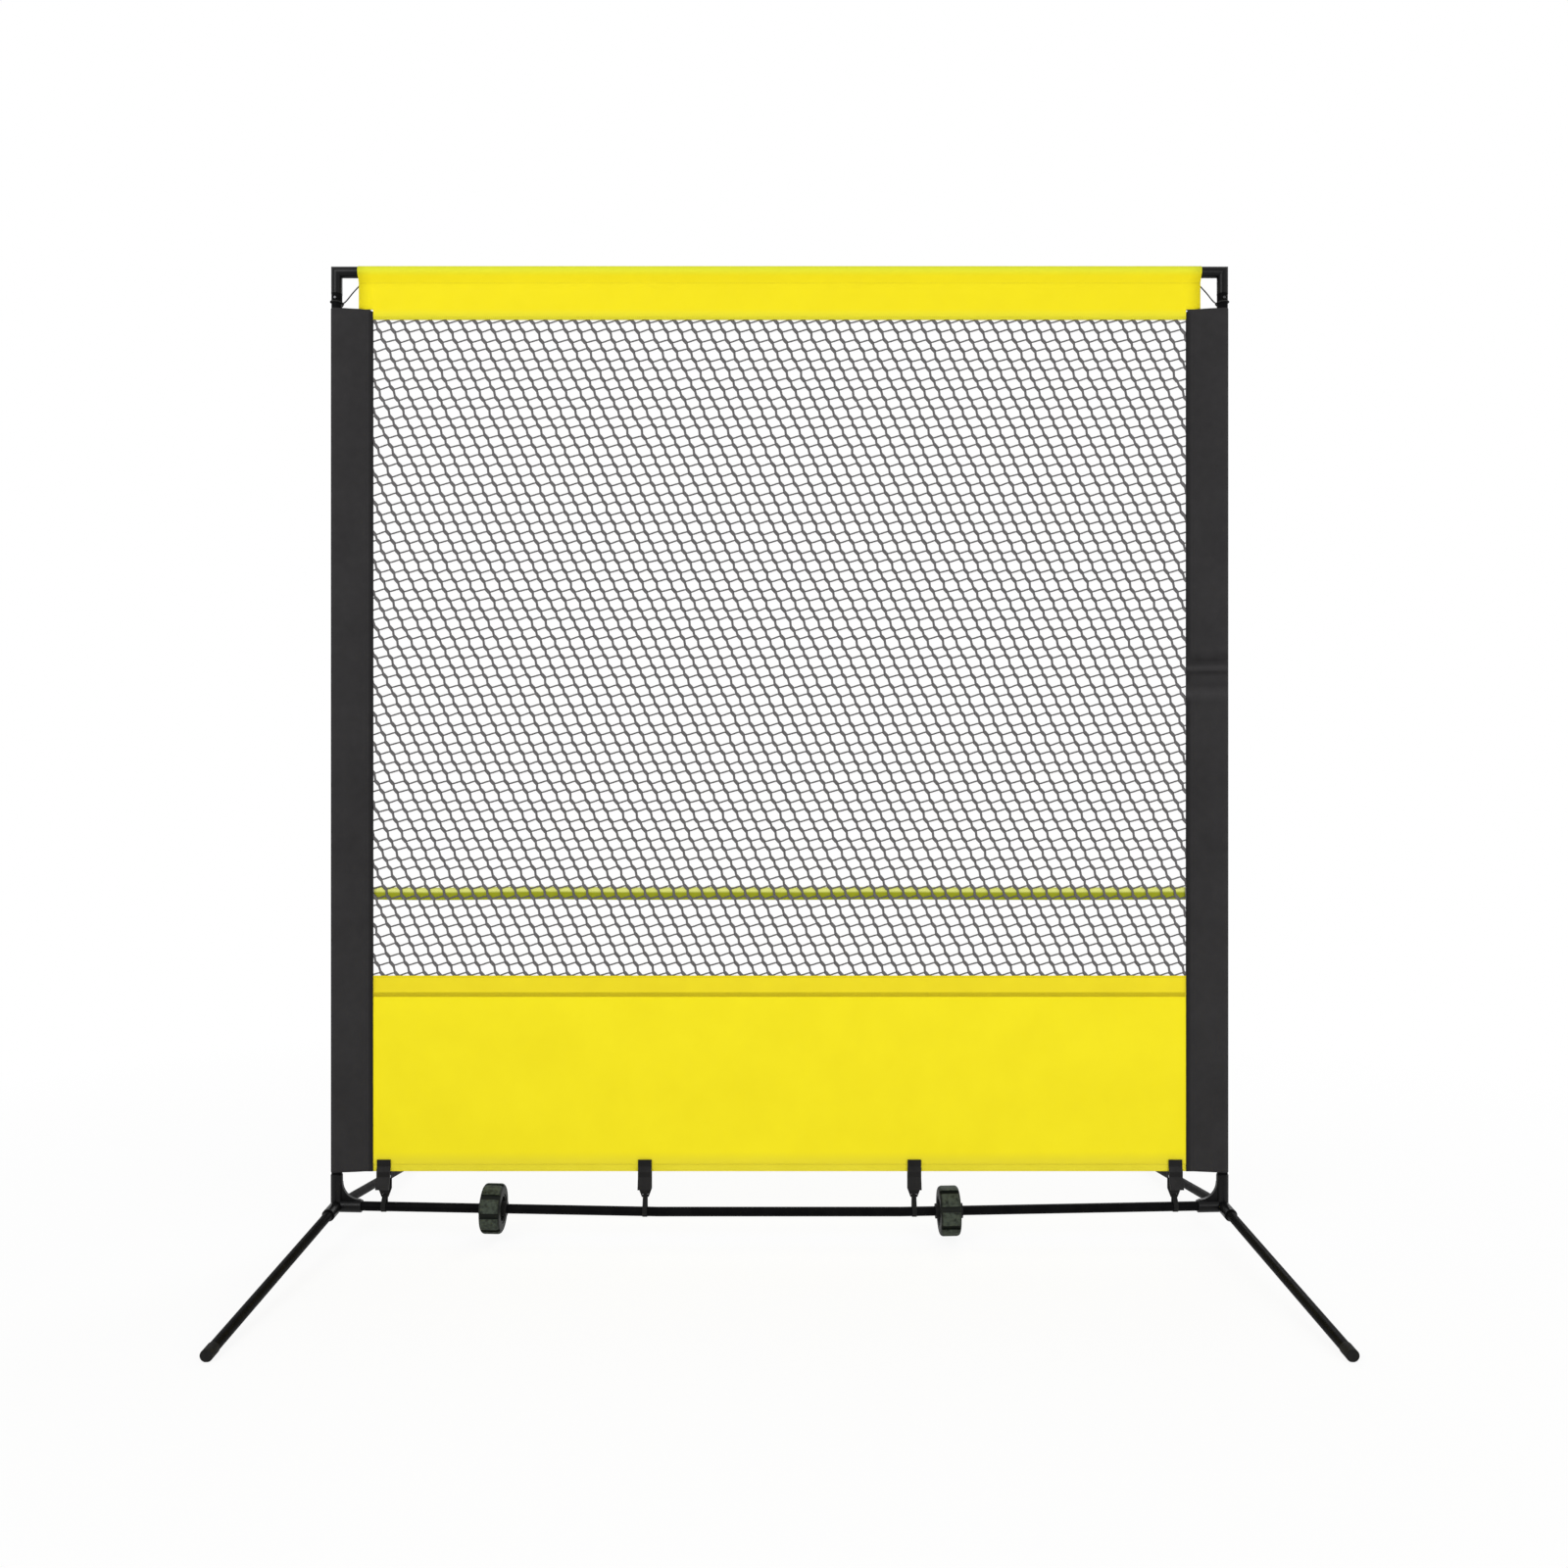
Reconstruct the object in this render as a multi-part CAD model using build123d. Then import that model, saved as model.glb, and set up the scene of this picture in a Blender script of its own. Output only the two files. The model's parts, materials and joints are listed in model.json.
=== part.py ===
from build123d import *
import math
import os

# A free-standing tennis rebound net: a knock-down steel tube frame with moulded
# corners, four legs, two wheels on the bottom bar and a net panel in fabric sleeves.
# Millimetres, +Z up, +X to the player's right, -Y towards the player.
# The origin is on the floor in the middle of the frame.

# Tubes
upright_diameter = 25.0
bar_diameter = 22.0
leg_diameter = 22.0
tube_wall = 1.2
push_clearance = 0.2

# Frame layout, to the tubes' centre lines
upright_spacing = 2105.0
corner_height = 80.0
top_bar_height = 2298.0
upright_joint_height = 1337.0
bottom_joint_offset = 290.0
bar_sag = 14.5
leg_reach = 700.0
leg_tip_height = 11.0

# Joints between tube sections
spigot_length = 55.0
shoulder_chamfer = 0.6
neck_length = 3.0
seat_gap = 0.3

# Bottom corner connectors
socket_diameter = 30.0
upright_socket_diameter = 28.0
upright_socket_reach = 75.0
bar_socket_reach = 60.0
leg_socket_reach = 60.0
socket_floor = 16.0
gusset_radius = 42.0
gusset_thickness = 10.0
socket_chamfer = 1.0

# Top elbows and their snap buttons
elbow_diameter = 26.0
elbow_side_length = 65.0
elbow_down_length = 52.0
elbow_spigot_wall = 2.5
elbow_bore_depth = 65.0
button_drop = 64.0
button_diameter = 7.0
button_stand_out = 2.5
button_rounding = 1.4
button_flange_diameter = 10.0
button_flange_thickness = 1.0
button_clearance = 0.3
button_spring_strip = 0.8
button_spring_width = 8.0
button_spring_length = 38.0
button_spring_bend = 3.0
button_spring_gap = 0.05

# Rubber feet
foot_diameter = 24.5
foot_length = 32.0
foot_end_wall = 5.0
foot_clearance = 0.05
foot_rounding = 3.0

# Wheels on the bottom bar
left_wheel_offset = 680.0
right_wheel_offset = 402.0
wheel_diameter = 116.0
tyre_width = 48.0
tyre_inner_diameter = 68.0
tyre_shoulder = 9.0
tread_depth = 5.5
tread_groove_width = 13.0
tread_lugs = 8
left_tread_turn = 2.0
right_tread_turn = 26.0
rim_width = 44.0
rim_thickness = 5.0
hub_diameter = 34.0
hub_length = 50.0
web_thickness = 6.0
spoke_count = 6
spoke_thickness = 4.0
spoke_width = 32.0
wheel_running_clearance = 0.08
tyre_seat_clearance = 0.05

# Shaft collars beside the wheels
collar_diameter = 35.0
collar_width = 7.0
collar_gap = 0.3
collar_clearance = 0.05
collar_screw_diameter = 4.0

# Fabric and net, up and down: below the top bar, above the corners' sockets or the hem
sleeve_drop = 88.5
band_drop = 112.5
hem_above_socket = 6.5
panel_height = 465.0
line_above_panel = 195.5

# Fabric and net sizes
cloth = 0.9
sleeve_reach = 86.5
sleeve_seam_reach = 67.5
sleeve_corner_radius = 8.0
sleeve_slot = 2.0
band_inset = 52.5
band_seam_reach = 24.0
band_slot = 1.4
pocket_clearance = 0.2
seam_allowance = 19.0
fabric_gap = 0.3
panel_cloth = 1.2
panel_top_hem = 50.0
panel_bottom_hem = 19.0
bottom_hem_thickness = 2.6
net_thickness = 1.0
net_columns = 16
net_rows = 16
steep_strand = 8.0
level_strand = 5.0
net_row_lean = 0.317
line_width = 30.0
line_thickness = 0.9

# Corner ties
tie_diameter = 3.0
tie_below_elbow = 20.0
tie_anchor_drop = 30.0
tie_gap = 0.05

# Hem clips and their straps
inner_clip_offset = 320.0
outer_clip_inset = 112.5
clip_width = 32.0
clip_plate = 3.0
clip_grip_above_hem = 28.0
clip_pin_below_hem = 12.0
clip_waist = 5.6
clip_grip_gap = 0.3
clip_grip_length = 16.0
clip_neck_rise = 12.0
clip_lever_drop = 28.0
clip_lever_splay = 10.0
clip_tail_drop = 50.8
clip_tail_width = 17.0
clip_taper_start = 30.0
clip_taper_end = 50.0
clip_ear_radius = 5.0
clip_ear_thickness = 2.5
clip_ear_gap = 0.5
clip_inner_ear = 8.5
clip_pin_diameter = 4.0
clip_pin_clearance = 0.05
clip_pin_head = 1.0
clip_spring_wire = 1.5
clip_spring_clearance = 0.15
clip_bridge = 5.0
clip_slot_height = 2.3
strap_width = 11.0
strap_thickness = 1.2
strap_slack = 0.3
strap_side_room = 1.0

# Worked out from the sizes above
half_spacing = upright_spacing / 2
sag_run = half_spacing - bottom_joint_offset
joint_height = corner_height - bar_sag
leg_drop = corner_height - leg_tip_height
leg_length = math.hypot(leg_reach, leg_drop)
sleeve_edge = half_spacing - sleeve_reach
band_half_width = half_spacing - band_inset
sleeve_top = top_bar_height - sleeve_drop
band_bottom = top_bar_height - band_drop
sleeve_bottom = corner_height + upright_socket_reach + hem_above_socket
panel_bottom = sleeve_bottom
panel_top = panel_bottom + panel_height
line_height = panel_top + line_above_panel
tie_loop_height = top_bar_height - elbow_down_length - tie_below_elbow
tie_anchor_height = top_bar_height - tie_anchor_drop
outer_clip_offset = half_spacing - outer_clip_inset
clip_pin_height = panel_bottom - clip_pin_below_hem
hem_half = bottom_hem_thickness / 2

BOTTOM = (Align.CENTER, Align.CENTER, Align.MIN)
sides = {"left": -1, "right": 1}
ends = {"front": -1, "rear": 1}
clips = {
    "left_outer": -outer_clip_offset,
    "left_inner": -inner_clip_offset,
    "right_inner": inner_clip_offset,
    "right_outer": outer_clip_offset,
}
wheels = {"left": -left_wheel_offset, "right": right_wheel_offset}
tread_turns = {"left": left_tread_turn, "right": right_tread_turn}


def save(name, shape):
    """Write one named piece, or a group of alike pieces, to its own file."""
    export_step(shape, os.path.join("parts", name + ".step"))


def group(shapes):
    """Alike pieces that share one name, each still a separate solid."""
    return Compound(children=[solid for shape in shapes for solid in shape.solids()])


def rod(start, direction, radius, length):
    """A round bar from a point along a direction."""
    return Plane(origin=start, z_dir=direction) * Cylinder(radius, length, align=BOTTOM)


def tube(start, direction, diameter, length, wall=tube_wall):
    """A round tube from a point along a direction."""
    return rod(start, direction, diameter / 2, length) - rod(
        start, direction, diameter / 2 - wall, length
    )


def spigot_radius(diameter):
    """The outside of a swaged end that pushes into a tube of this diameter."""
    return diameter / 2 - tube_wall - push_clearance


def swaged_tube(start, direction, diameter, length):
    """A tube whose far end is necked down to push into the next section."""
    outer = diameter / 2
    neck = spigot_radius(diameter)
    inside = neck - tube_wall
    end = length + spigot_length
    outline = [
        (outer - tube_wall, 0),
        (outer, 0),
        (outer, length - shoulder_chamfer),
        (outer - shoulder_chamfer, length),
        (neck, length),
        (neck, end),
        (inside, end),
        (inside, length - neck_length),
        (outer - tube_wall, length - neck_length),
    ]
    section = Plane.XZ * Polygon(*outline, align=None)
    return Plane(origin=start, z_dir=direction) * revolve(section, Axis.Z)


def along(start, direction, distance):
    """The point a distance from a start along a direction."""
    return Vector(*start) + Vector(*direction).normalized() * distance


def corner(side):
    return (side * half_spacing, 0, corner_height)


def bar_direction(side):
    """From a bottom corner along the sagging outer section of the bottom bar."""
    return Vector(-side * sag_run, 0, -bar_sag)


def leg_direction(end):
    return Vector(0, end * leg_reach, -leg_drop)


def bar_height_at(x):
    """Height of the bottom bar's centre line at a sideways position."""
    run = max(0.0, abs(x) - bottom_joint_offset)
    return joint_height + bar_sag * run / sag_run


# Frame


def gusset(side):
    """The curved web between the upright's socket and the bottom bar's socket."""
    x0 = upright_socket_diameter / 2
    z0 = socket_diameter / 2
    far_x = x0 + gusset_radius
    far_z = z0 + gusset_radius
    plate = Rectangle(far_x, far_z, align=(Align.MIN, Align.MIN))
    plate -= Pos(far_x, far_z) * Circle(gusset_radius)
    web = extrude(Plane.XZ * plate, gusset_thickness / 2, both=True)
    if side > 0:
        web = mirror(web, Plane.YZ)
    return Pos(*corner(side)) * web


def corner_connector(side):
    """Moulded four-way corner: sockets for the upright, the bottom bar and two legs."""
    centre = corner(side)
    up = Vector(0, 0, 1)
    sockets = [
        (up, upright_socket_diameter, upright_diameter, upright_socket_reach),
        (bar_direction(side), socket_diameter, bar_diameter, bar_socket_reach),
        (leg_direction(-1), socket_diameter, leg_diameter, leg_socket_reach),
        (leg_direction(1), socket_diameter, leg_diameter, leg_socket_reach),
    ]
    body = Pos(*centre) * Sphere(socket_diameter / 2)
    for direction, outside, _, reach in sockets:
        barrel = rod(centre, direction, outside / 2, reach)
        mouth = barrel.edges().sort_by_distance(along(centre, direction, reach))[0]
        body += chamfer(mouth, socket_chamfer)
    body += gusset(side)
    for direction, _, inside, reach in sockets:
        start = along(centre, direction, socket_floor)
        body -= rod(start, direction, inside / 2 + push_clearance, reach)
    return body


def lower_upright(side):
    seat = corner_height + socket_floor
    start = (side * half_spacing, 0, seat)
    return swaged_tube(start, (0, 0, 1), upright_diameter, upright_joint_height - seat)


def button_height():
    return top_bar_height - button_drop


def button_hole(side):
    """The hole through the front wall of the upright and of the elbow's spigot."""
    start = (side * half_spacing, 0, button_height())
    return rod(start, (0, -1, 0), button_diameter / 2 + button_clearance, elbow_diameter)


def upper_upright(side):
    start = (side * half_spacing, 0, upright_joint_height)
    top = top_bar_height - elbow_down_length
    pole = tube(start, (0, 0, 1), upright_diameter, top - upright_joint_height)
    return pole - button_hole(side)


def top_elbow(side):
    """Moulded mitred elbow with a spigot inside the top bar and one inside the upright."""
    centre = (side * half_spacing, 0, top_bar_height)
    radius = elbow_diameter / 2
    inward = Vector(-side, 0, 0)
    down = Vector(0, 0, -1)
    across = rod(along(centre, inward, -radius), inward, radius, elbow_side_length + radius)
    drop = rod(along(centre, down, -radius), down, radius, elbow_down_length + radius)
    body = across & drop
    body += rod(centre, inward, radius, elbow_side_length)
    body += rod(centre, down, radius, elbow_down_length)
    spigot = spigot_radius(upright_diameter)
    body += rod(along(centre, inward, elbow_side_length), inward, spigot, spigot_length)
    body += rod(along(centre, down, elbow_down_length), down, spigot, spigot_length)
    bore = spigot - elbow_spigot_wall
    for direction, length in ((inward, elbow_side_length), (down, elbow_down_length)):
        end = along(centre, direction, length + spigot_length)
        body -= rod(end, -direction, bore, elbow_bore_depth)
    return body - button_hole(side)


def top_bar(side):
    """Half of the top bar. The left half is necked to push into the right half."""
    start = (side * (half_spacing - elbow_side_length), 0, top_bar_height)
    length = half_spacing - elbow_side_length
    if side < 0:
        return swaged_tube(start, (1, 0, 0), upright_diameter, length)
    return tube(start, (-1, 0, 0), upright_diameter, length)


def outer_bottom_bar(side):
    """An outer section of the bottom bar, from its corner socket to the sagging joint."""
    direction = bar_direction(side)
    start = along(corner(side), direction, socket_floor)
    length = direction.length - socket_floor - seat_gap
    return tube(start, direction, bar_diameter, length)


def middle_bottom_bar():
    """The middle section, whose closed necked ends point along the outer sections."""
    width = 2 * bottom_joint_offset
    radius = bar_diameter / 2
    neck = spigot_radius(bar_diameter)
    bar = tube((-bottom_joint_offset, 0, joint_height), (1, 0, 0), bar_diameter, width)
    for side in sides.values():
        joint = (side * bottom_joint_offset, 0, joint_height)
        outward = -bar_direction(side)
        bar += rod(joint, (-side, 0, 0), radius, neck_length)
        root = along(joint, outward, -neck_length / 2)
        bar += tube(root, outward, 2 * neck, spigot_length)
    return bar


def leg(side, end):
    direction = leg_direction(end)
    start = along(corner(side), direction, socket_floor)
    return tube(start, direction, leg_diameter, leg_length - socket_floor - foot_end_wall)


def foot(side, end):
    """Rubber cap on a leg's tip, cut flat where it stands on the floor."""
    direction = leg_direction(end)
    start = along(corner(side), direction, leg_length - foot_length)
    cap = rod(start, direction, foot_diameter / 2, foot_length)
    tip = cap.edges().sort_by_distance(along(start, direction, foot_length))[0]
    cap = fillet(tip, foot_rounding)
    bore = leg_diameter / 2 + foot_clearance
    cap -= rod(start, direction, bore, foot_length - foot_end_wall)
    below_floor = Pos(side * half_spacing, end * leg_reach, 0) * Box(
        foot_diameter * 2, foot_length * 3, foot_diameter, align=(Align.CENTER, Align.CENTER, Align.MAX)
    )
    return cap - below_floor


# Snap buttons in the top elbows


def snap_button(side):
    """The button: a head through both walls and a flange inside the spigot."""
    bore = spigot_radius(upright_diameter) - elbow_spigot_wall
    seat = math.sqrt(bore**2 - (button_flange_diameter / 2) ** 2) - button_spring_gap
    centre = (side * half_spacing, -seat, button_height())
    head = upright_diameter / 2 + button_stand_out - seat
    stem = rod(centre, (0, -1, 0), button_diameter / 2, head)
    rim = stem.edges().sort_by(Axis.Y)[0]
    flange = rod(centre, (0, 1, 0), button_flange_diameter / 2, button_flange_thickness)
    return fillet(rim, button_rounding) + flange


def button_spring(side):
    """Spring-steel strip folded in a V: one arm behind the button, one on the far wall."""
    bore = spigot_radius(upright_diameter) - elbow_spigot_wall
    half_width = button_spring_width / 2
    front = -math.sqrt(bore**2 - (button_flange_diameter / 2) ** 2)
    front += button_flange_thickness + 2 * button_spring_gap
    rear = math.sqrt(bore**2 - half_width**2) - button_spring_gap
    top = button_flange_diameter / 2
    low = top - button_spring_length
    straight = low + button_spring_length / 2
    strip = button_spring_strip
    bend = button_spring_bend
    outer = [
        (front, top),
        (front, straight),
        (-bend / 2, low),
        (bend / 2, low),
        (rear, straight),
        (rear, top),
    ]
    inner = [
        (front + strip, top),
        (front + strip, straight),
        (-bend / 2 + strip / 2, low + strip),
        (bend / 2 - strip / 2, low + strip),
        (rear - strip, straight),
        (rear - strip, top),
    ]
    section = Polygon(*outer, align=None) - Polygon(*inner, align=None)
    strip_solid = extrude(Plane.YZ * section, half_width, both=True)
    return Pos(side * half_spacing, 0, button_height()) * strip_solid


# Wheels


def on_bar(x):
    """A plane square to the bottom bar at a sideways position, its normal along the bar."""
    slope = 0.0 if abs(x) < bottom_joint_offset else math.copysign(bar_sag / sag_run, x)
    return Plane(origin=(x, 0, bar_height_at(x)), x_dir=(0, 1, 0), z_dir=(1, 0, slope))


def ring(outer, inner, width):
    return Cylinder(outer, width) - Cylinder(inner, width)


def wheel_hub(x):
    """Moulded hub: barrel on the bar, spoked web and rim."""
    bore = bar_diameter / 2 + wheel_running_clearance
    rim_outer = tyre_inner_diameter / 2 - tyre_seat_clearance
    rim_inner = rim_outer - rim_thickness
    body = ring(hub_diameter / 2, bore, hub_length)
    body += ring(rim_outer, rim_inner, rim_width)
    body += ring(rim_inner, hub_diameter / 2, web_thickness)
    inner_root = (bore + hub_diameter / 2) / 2
    outer_root = (rim_inner + rim_outer) / 2
    for number in range(spoke_count):
        spoke = Pos(inner_root, 0, 0) * Box(
            outer_root - inner_root, spoke_thickness, spoke_width,
            align=(Align.MIN, Align.CENTER, Align.CENTER),
        )
        body += Rot(0, 0, number * 360 / spoke_count) * spoke
    return on_bar(x) * body


def tyre(x, turn):
    """Chunky tyre with square transverse lugs and rounded shoulders, its tread turned by an angle."""
    outer = wheel_diameter / 2
    body = Cylinder(outer, tyre_width)
    rims = body.edges().filter_by(GeomType.CIRCLE)
    body = fillet(rims, tyre_shoulder)
    body -= Cylinder(tyre_inner_diameter / 2, tyre_width)
    for number in range(tread_lugs):
        groove = Pos(outer, 0, 0) * Box(2 * tread_depth, tread_groove_width, 2 * tyre_width)
        body -= Rot(0, 0, turn + number * 360 / tread_lugs) * groove
    return on_bar(x) * body


def collar_places(x):
    """Offsets along the bar of the collars on both sides of a wheel."""
    offset = hub_length / 2 + collar_gap + collar_width / 2
    return [on_bar(x) * Pos(0, 0, direction * offset) for direction in (-1, 1)]


def collar():
    body = ring(collar_diameter / 2, bar_diameter / 2 + collar_clearance, collar_width)
    hole_radius = collar_screw_diameter / 2 + collar_clearance
    return body - rod((0, 0, 0), (1, 0, 0), hole_radius, collar_diameter)


def collar_screw():
    """Set screw from the collar's outside down to the bar."""
    start = bar_diameter / 2 + collar_clearance / 2
    length = collar_diameter / 2 - start - collar_clearance
    return rod((start, 0, 0), (1, 0, 0), collar_screw_diameter / 2, length)


# Hem clips, each built round its pin and then put in place


def clip_place(x):
    return Pos(x, 0, clip_pin_height)


def ears(direction, inner_face):
    """Two pierced ears that join a jaw's plate to the pin."""
    reach = clip_waist + clip_plate / 2
    shape = Circle(clip_ear_radius)
    shape += Pos(direction * reach / 2, 0) * Rectangle(reach, 2 * clip_ear_radius)
    shape -= Circle(clip_pin_diameter / 2 + clip_pin_clearance)
    ear = extrude(Plane.YZ * shape, clip_ear_thickness)
    return Pos(inner_face, 0, 0) * ear + Pos(-inner_face - clip_ear_thickness, 0, 0) * ear


def jaw_plate(direction, tail_y, tail_z):
    """Side profile of a jaw: grip, neck, waist beside the pin, and tail."""
    grip = hem_half + clip_grip_gap
    top = clip_pin_below_hem + clip_grip_above_hem
    neck = top - clip_grip_length
    inner = [(grip, top), (grip, neck), (clip_waist, clip_neck_rise), (clip_waist, 0), (tail_y, tail_z)]
    outer = [(y + clip_plate, z) for y, z in reversed(inner)]
    outline = [(direction * y, z) for y, z in inner + outer]
    return extrude(Plane.YZ * Polygon(*outline, align=None), clip_width / 2, both=True)


def front_jaw():
    """Sprung jaw with a thumb lever that splays towards the player."""
    plate = jaw_plate(-1, clip_waist + clip_lever_splay, -clip_lever_drop)
    return plate + ears(-1, clip_inner_ear)


def rear_jaw():
    """Fixed jaw, whose tail tapers to a slot for the strap."""
    plate = jaw_plate(1, clip_waist, -clip_tail_drop)
    half = clip_width / 2
    half_tail = clip_tail_width / 2
    beyond_side = half + clip_plate
    beyond_tail = -clip_tail_drop - clip_plate
    waste = [
        (half_tail, beyond_tail),
        (half_tail, -clip_taper_end),
        (half, -clip_taper_start),
        (beyond_side, -clip_taper_start),
        (beyond_side, beyond_tail),
    ]
    cut = extrude(Plane.XZ * Polygon(*waste, align=None), clip_width, both=True)
    plate -= cut
    plate -= mirror(cut, Plane.YZ)
    slot_width = strap_width + 2 * strap_side_room
    slot_middle = -clip_tail_drop + clip_bridge + clip_slot_height / 2
    plate_middle = clip_waist + clip_plate / 2
    plate -= Pos(0, plate_middle, slot_middle) * Box(slot_width, 2 * clip_plate, clip_slot_height)
    outer_ear = clip_inner_ear + clip_ear_thickness + clip_ear_gap
    return plate + ears(1, outer_ear)


def clip_pin():
    outside = clip_inner_ear + 2 * clip_ear_thickness + clip_ear_gap + clip_pin_clearance
    radius = clip_pin_diameter / 2
    pin = rod((-outside, 0, 0), (1, 0, 0), radius, 2 * outside)
    for direction in (-1, 1):
        pin += rod((direction * outside, 0, 0), (direction, 0, 0), radius + clip_pin_head, clip_pin_head)
    return pin


def clip_spring():
    """Closing spring on the pin between the ears, drawn as the body that its turns fill."""
    inside = clip_pin_diameter / 2 + clip_spring_clearance
    length = 2 * (clip_inner_ear - clip_ear_gap)
    return Plane.YZ * ring(inside + clip_spring_wire, inside, length)


def strap(x):
    """Elastic strap looped through the clip's tail and round the bottom bar."""
    bridge_y = clip_waist + clip_plate / 2
    bridge_z = clip_pin_height - clip_tail_drop + clip_bridge / 2
    bar_z = bar_height_at(x)
    top = math.hypot(clip_plate / 2, clip_bridge / 2) + strap_slack / 2
    bottom = bar_diameter / 2 + strap_slack
    outside = belt(bridge_y, bridge_z, top + strap_thickness, bar_z, bottom + strap_thickness)
    inside = belt(bridge_y, bridge_z, top, bar_z, bottom)
    loop = extrude(Plane.YZ * (outside - inside), strap_width / 2, both=True)
    return Pos(x, 0, 0) * loop


def belt(top_y, top_z, top_radius, bottom_z, bottom_radius):
    """The outline of a taut belt round two circles."""
    circles = Pos(top_y, top_z) * Circle(top_radius), Pos(0, bottom_z) * Circle(bottom_radius)
    return make_hull([edge for circle in circles for edge in circle.edges()])


# Fabric and net


def pocket_section(tube_diameter, seam_reach, reach, slot):
    """Cloth folded round a tube at the origin, its two layers sewn together towards +X.

    The last stretch of the layers stays open, for the edge that they hold.
    """
    inside = tube_diameter / 2 + pocket_clearance
    half = slot / 2 + cloth
    seam_edge = Pos(seam_reach, 0) * Rectangle(cloth, 2 * half, align=(Align.MAX, Align.CENTER))
    seam_tip = Pos(seam_reach - cloth, 0) * Rectangle(cloth, cloth, align=(Align.MAX, Align.CENTER))
    outer = make_hull(Circle(inside + cloth).edges() + seam_edge.edges())
    inner = make_hull(Circle(inside).edges() + seam_tip.edges())
    flap = Pos(seam_reach, 0) * Rectangle(reach - seam_reach, 2 * half, align=(Align.MIN, Align.CENTER))
    mouth = Pos(reach, 0) * Rectangle(seam_allowance, slot, align=(Align.MAX, Align.CENTER))
    return outer - inner + flap - mouth


def side_sleeve(side):
    """Black sleeve round an upright, with the panel's side edge between its layers."""
    section = pocket_section(upright_diameter, sleeve_seam_reach, sleeve_reach, sleeve_slot)
    sleeve = extrude(section, sleeve_top - sleeve_bottom)
    corner_cut = Rectangle(sleeve_corner_radius, sleeve_corner_radius, align=(Align.MAX, Align.MAX))
    corner_cut -= Pos(-sleeve_corner_radius, -sleeve_corner_radius) * Circle(sleeve_corner_radius)
    waste = extrude(Plane.XZ * corner_cut, upright_diameter, both=True)
    sleeve -= Pos(sleeve_reach, 0, sleeve_top - sleeve_bottom) * waste
    if side > 0:
        sleeve = mirror(sleeve, Plane.YZ)
    return Pos(side * half_spacing, 0, sleeve_bottom) * sleeve


def top_band():
    """Yellow band folded over the top bar, with the net's top edge between its layers."""
    reach = top_bar_height - band_bottom
    section = pocket_section(elbow_diameter, band_seam_reach, reach, band_slot)
    hanging = Plane(origin=(0, 0, top_bar_height), x_dir=(0, 0, -1), z_dir=(1, 0, 0))
    band = extrude(hanging * section, band_half_width, both=True)
    notch_height = sleeve_top + fabric_gap - band_bottom
    for side in sides.values():
        notch = Pos(side * (sleeve_edge - fabric_gap), 0, band_bottom) * Box(
            band_half_width, upright_diameter, notch_height,
            align=(Align.MIN if side > 0 else Align.MAX, Align.CENTER, Align.MIN),
        )
        band -= notch
    return band


def mesh_opening(pitch, row_height):
    """One slanting four-sided opening between two steep strands and two level ones."""
    half_height = (row_height - level_strand) / 2
    half_width = (pitch - steep_strand) / 2
    lean = net_row_lean * pitch * half_height / row_height
    return Polygon(
        (-half_width - lean, half_height),
        (half_width - lean, half_height),
        (half_width + lean, -half_height),
        (-half_width + lean, -half_height),
        align=None,
    )


def net():
    """The net as one sheet with slanting openings, wider spaced than the real mesh."""
    edge = sleeve_edge + seam_allowance - fabric_gap
    low = panel_top - seam_allowance + fabric_gap
    high = band_bottom + seam_allowance - fabric_gap
    middle = (low + high) / 2
    side_limit = sleeve_edge - steep_strand
    pitch = 2 * sleeve_edge / net_columns
    row_height = (band_bottom - panel_top) / net_rows
    opening = mesh_opening(pitch, row_height)
    window = Pos(0, middle) * Rectangle(2 * side_limit, high - low)
    openings = []
    for row in range(net_rows):
        z = panel_top + (row + 0.5) * row_height
        shift = (-row * net_row_lean) % 1.0
        for column in range(-1, net_columns + 1):
            x = -sleeve_edge + (column + shift) * pitch
            cell = Pos(x, z) * opening
            if abs(x) + pitch > side_limit:
                cell = window & cell
            if cell:
                openings += [face.outer_wire() for face in cell.faces()]
    sheet = Pos(0, middle) * Rectangle(2 * edge, high - low)
    front = Face(sheet.face().outer_wire(), openings)
    return Pos(0, net_thickness / 2, 0) * extrude(Plane.XZ * front, net_thickness)


def target_line():
    """Tape sewn across the back of the net at the height of a court net."""
    width = 2 * (sleeve_edge - fabric_gap)
    back = net_thickness / 2
    tape = Box(width, line_thickness, line_width, align=(Align.CENTER, Align.MIN, Align.CENTER))
    return Pos(0, back, line_height) * tape


def lower_panel():
    """Solid cloth panel, with a doubled hem that holds the net and a rolled bottom hem."""
    hem_width = 2 * (sleeve_edge - fabric_gap)
    full_width = 2 * (sleeve_edge + seam_allowance - fabric_gap)
    upward = (Align.CENTER, Align.CENTER, Align.MIN)
    hem_start = panel_top - panel_top_hem
    hem_thickness = band_slot + 2 * cloth
    body = Pos(0, 0, panel_bottom) * Box(full_width, panel_cloth, hem_start - panel_bottom, align=upward)
    body += Pos(0, 0, hem_start) * Box(hem_width, hem_thickness, panel_top_hem, align=upward)
    body += Pos(0, 0, panel_bottom) * Box(hem_width, bottom_hem_thickness, panel_bottom_hem, align=upward)
    body -= Pos(0, 0, panel_top - seam_allowance) * Box(hem_width, band_slot, seam_allowance, align=upward)
    return body


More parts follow.
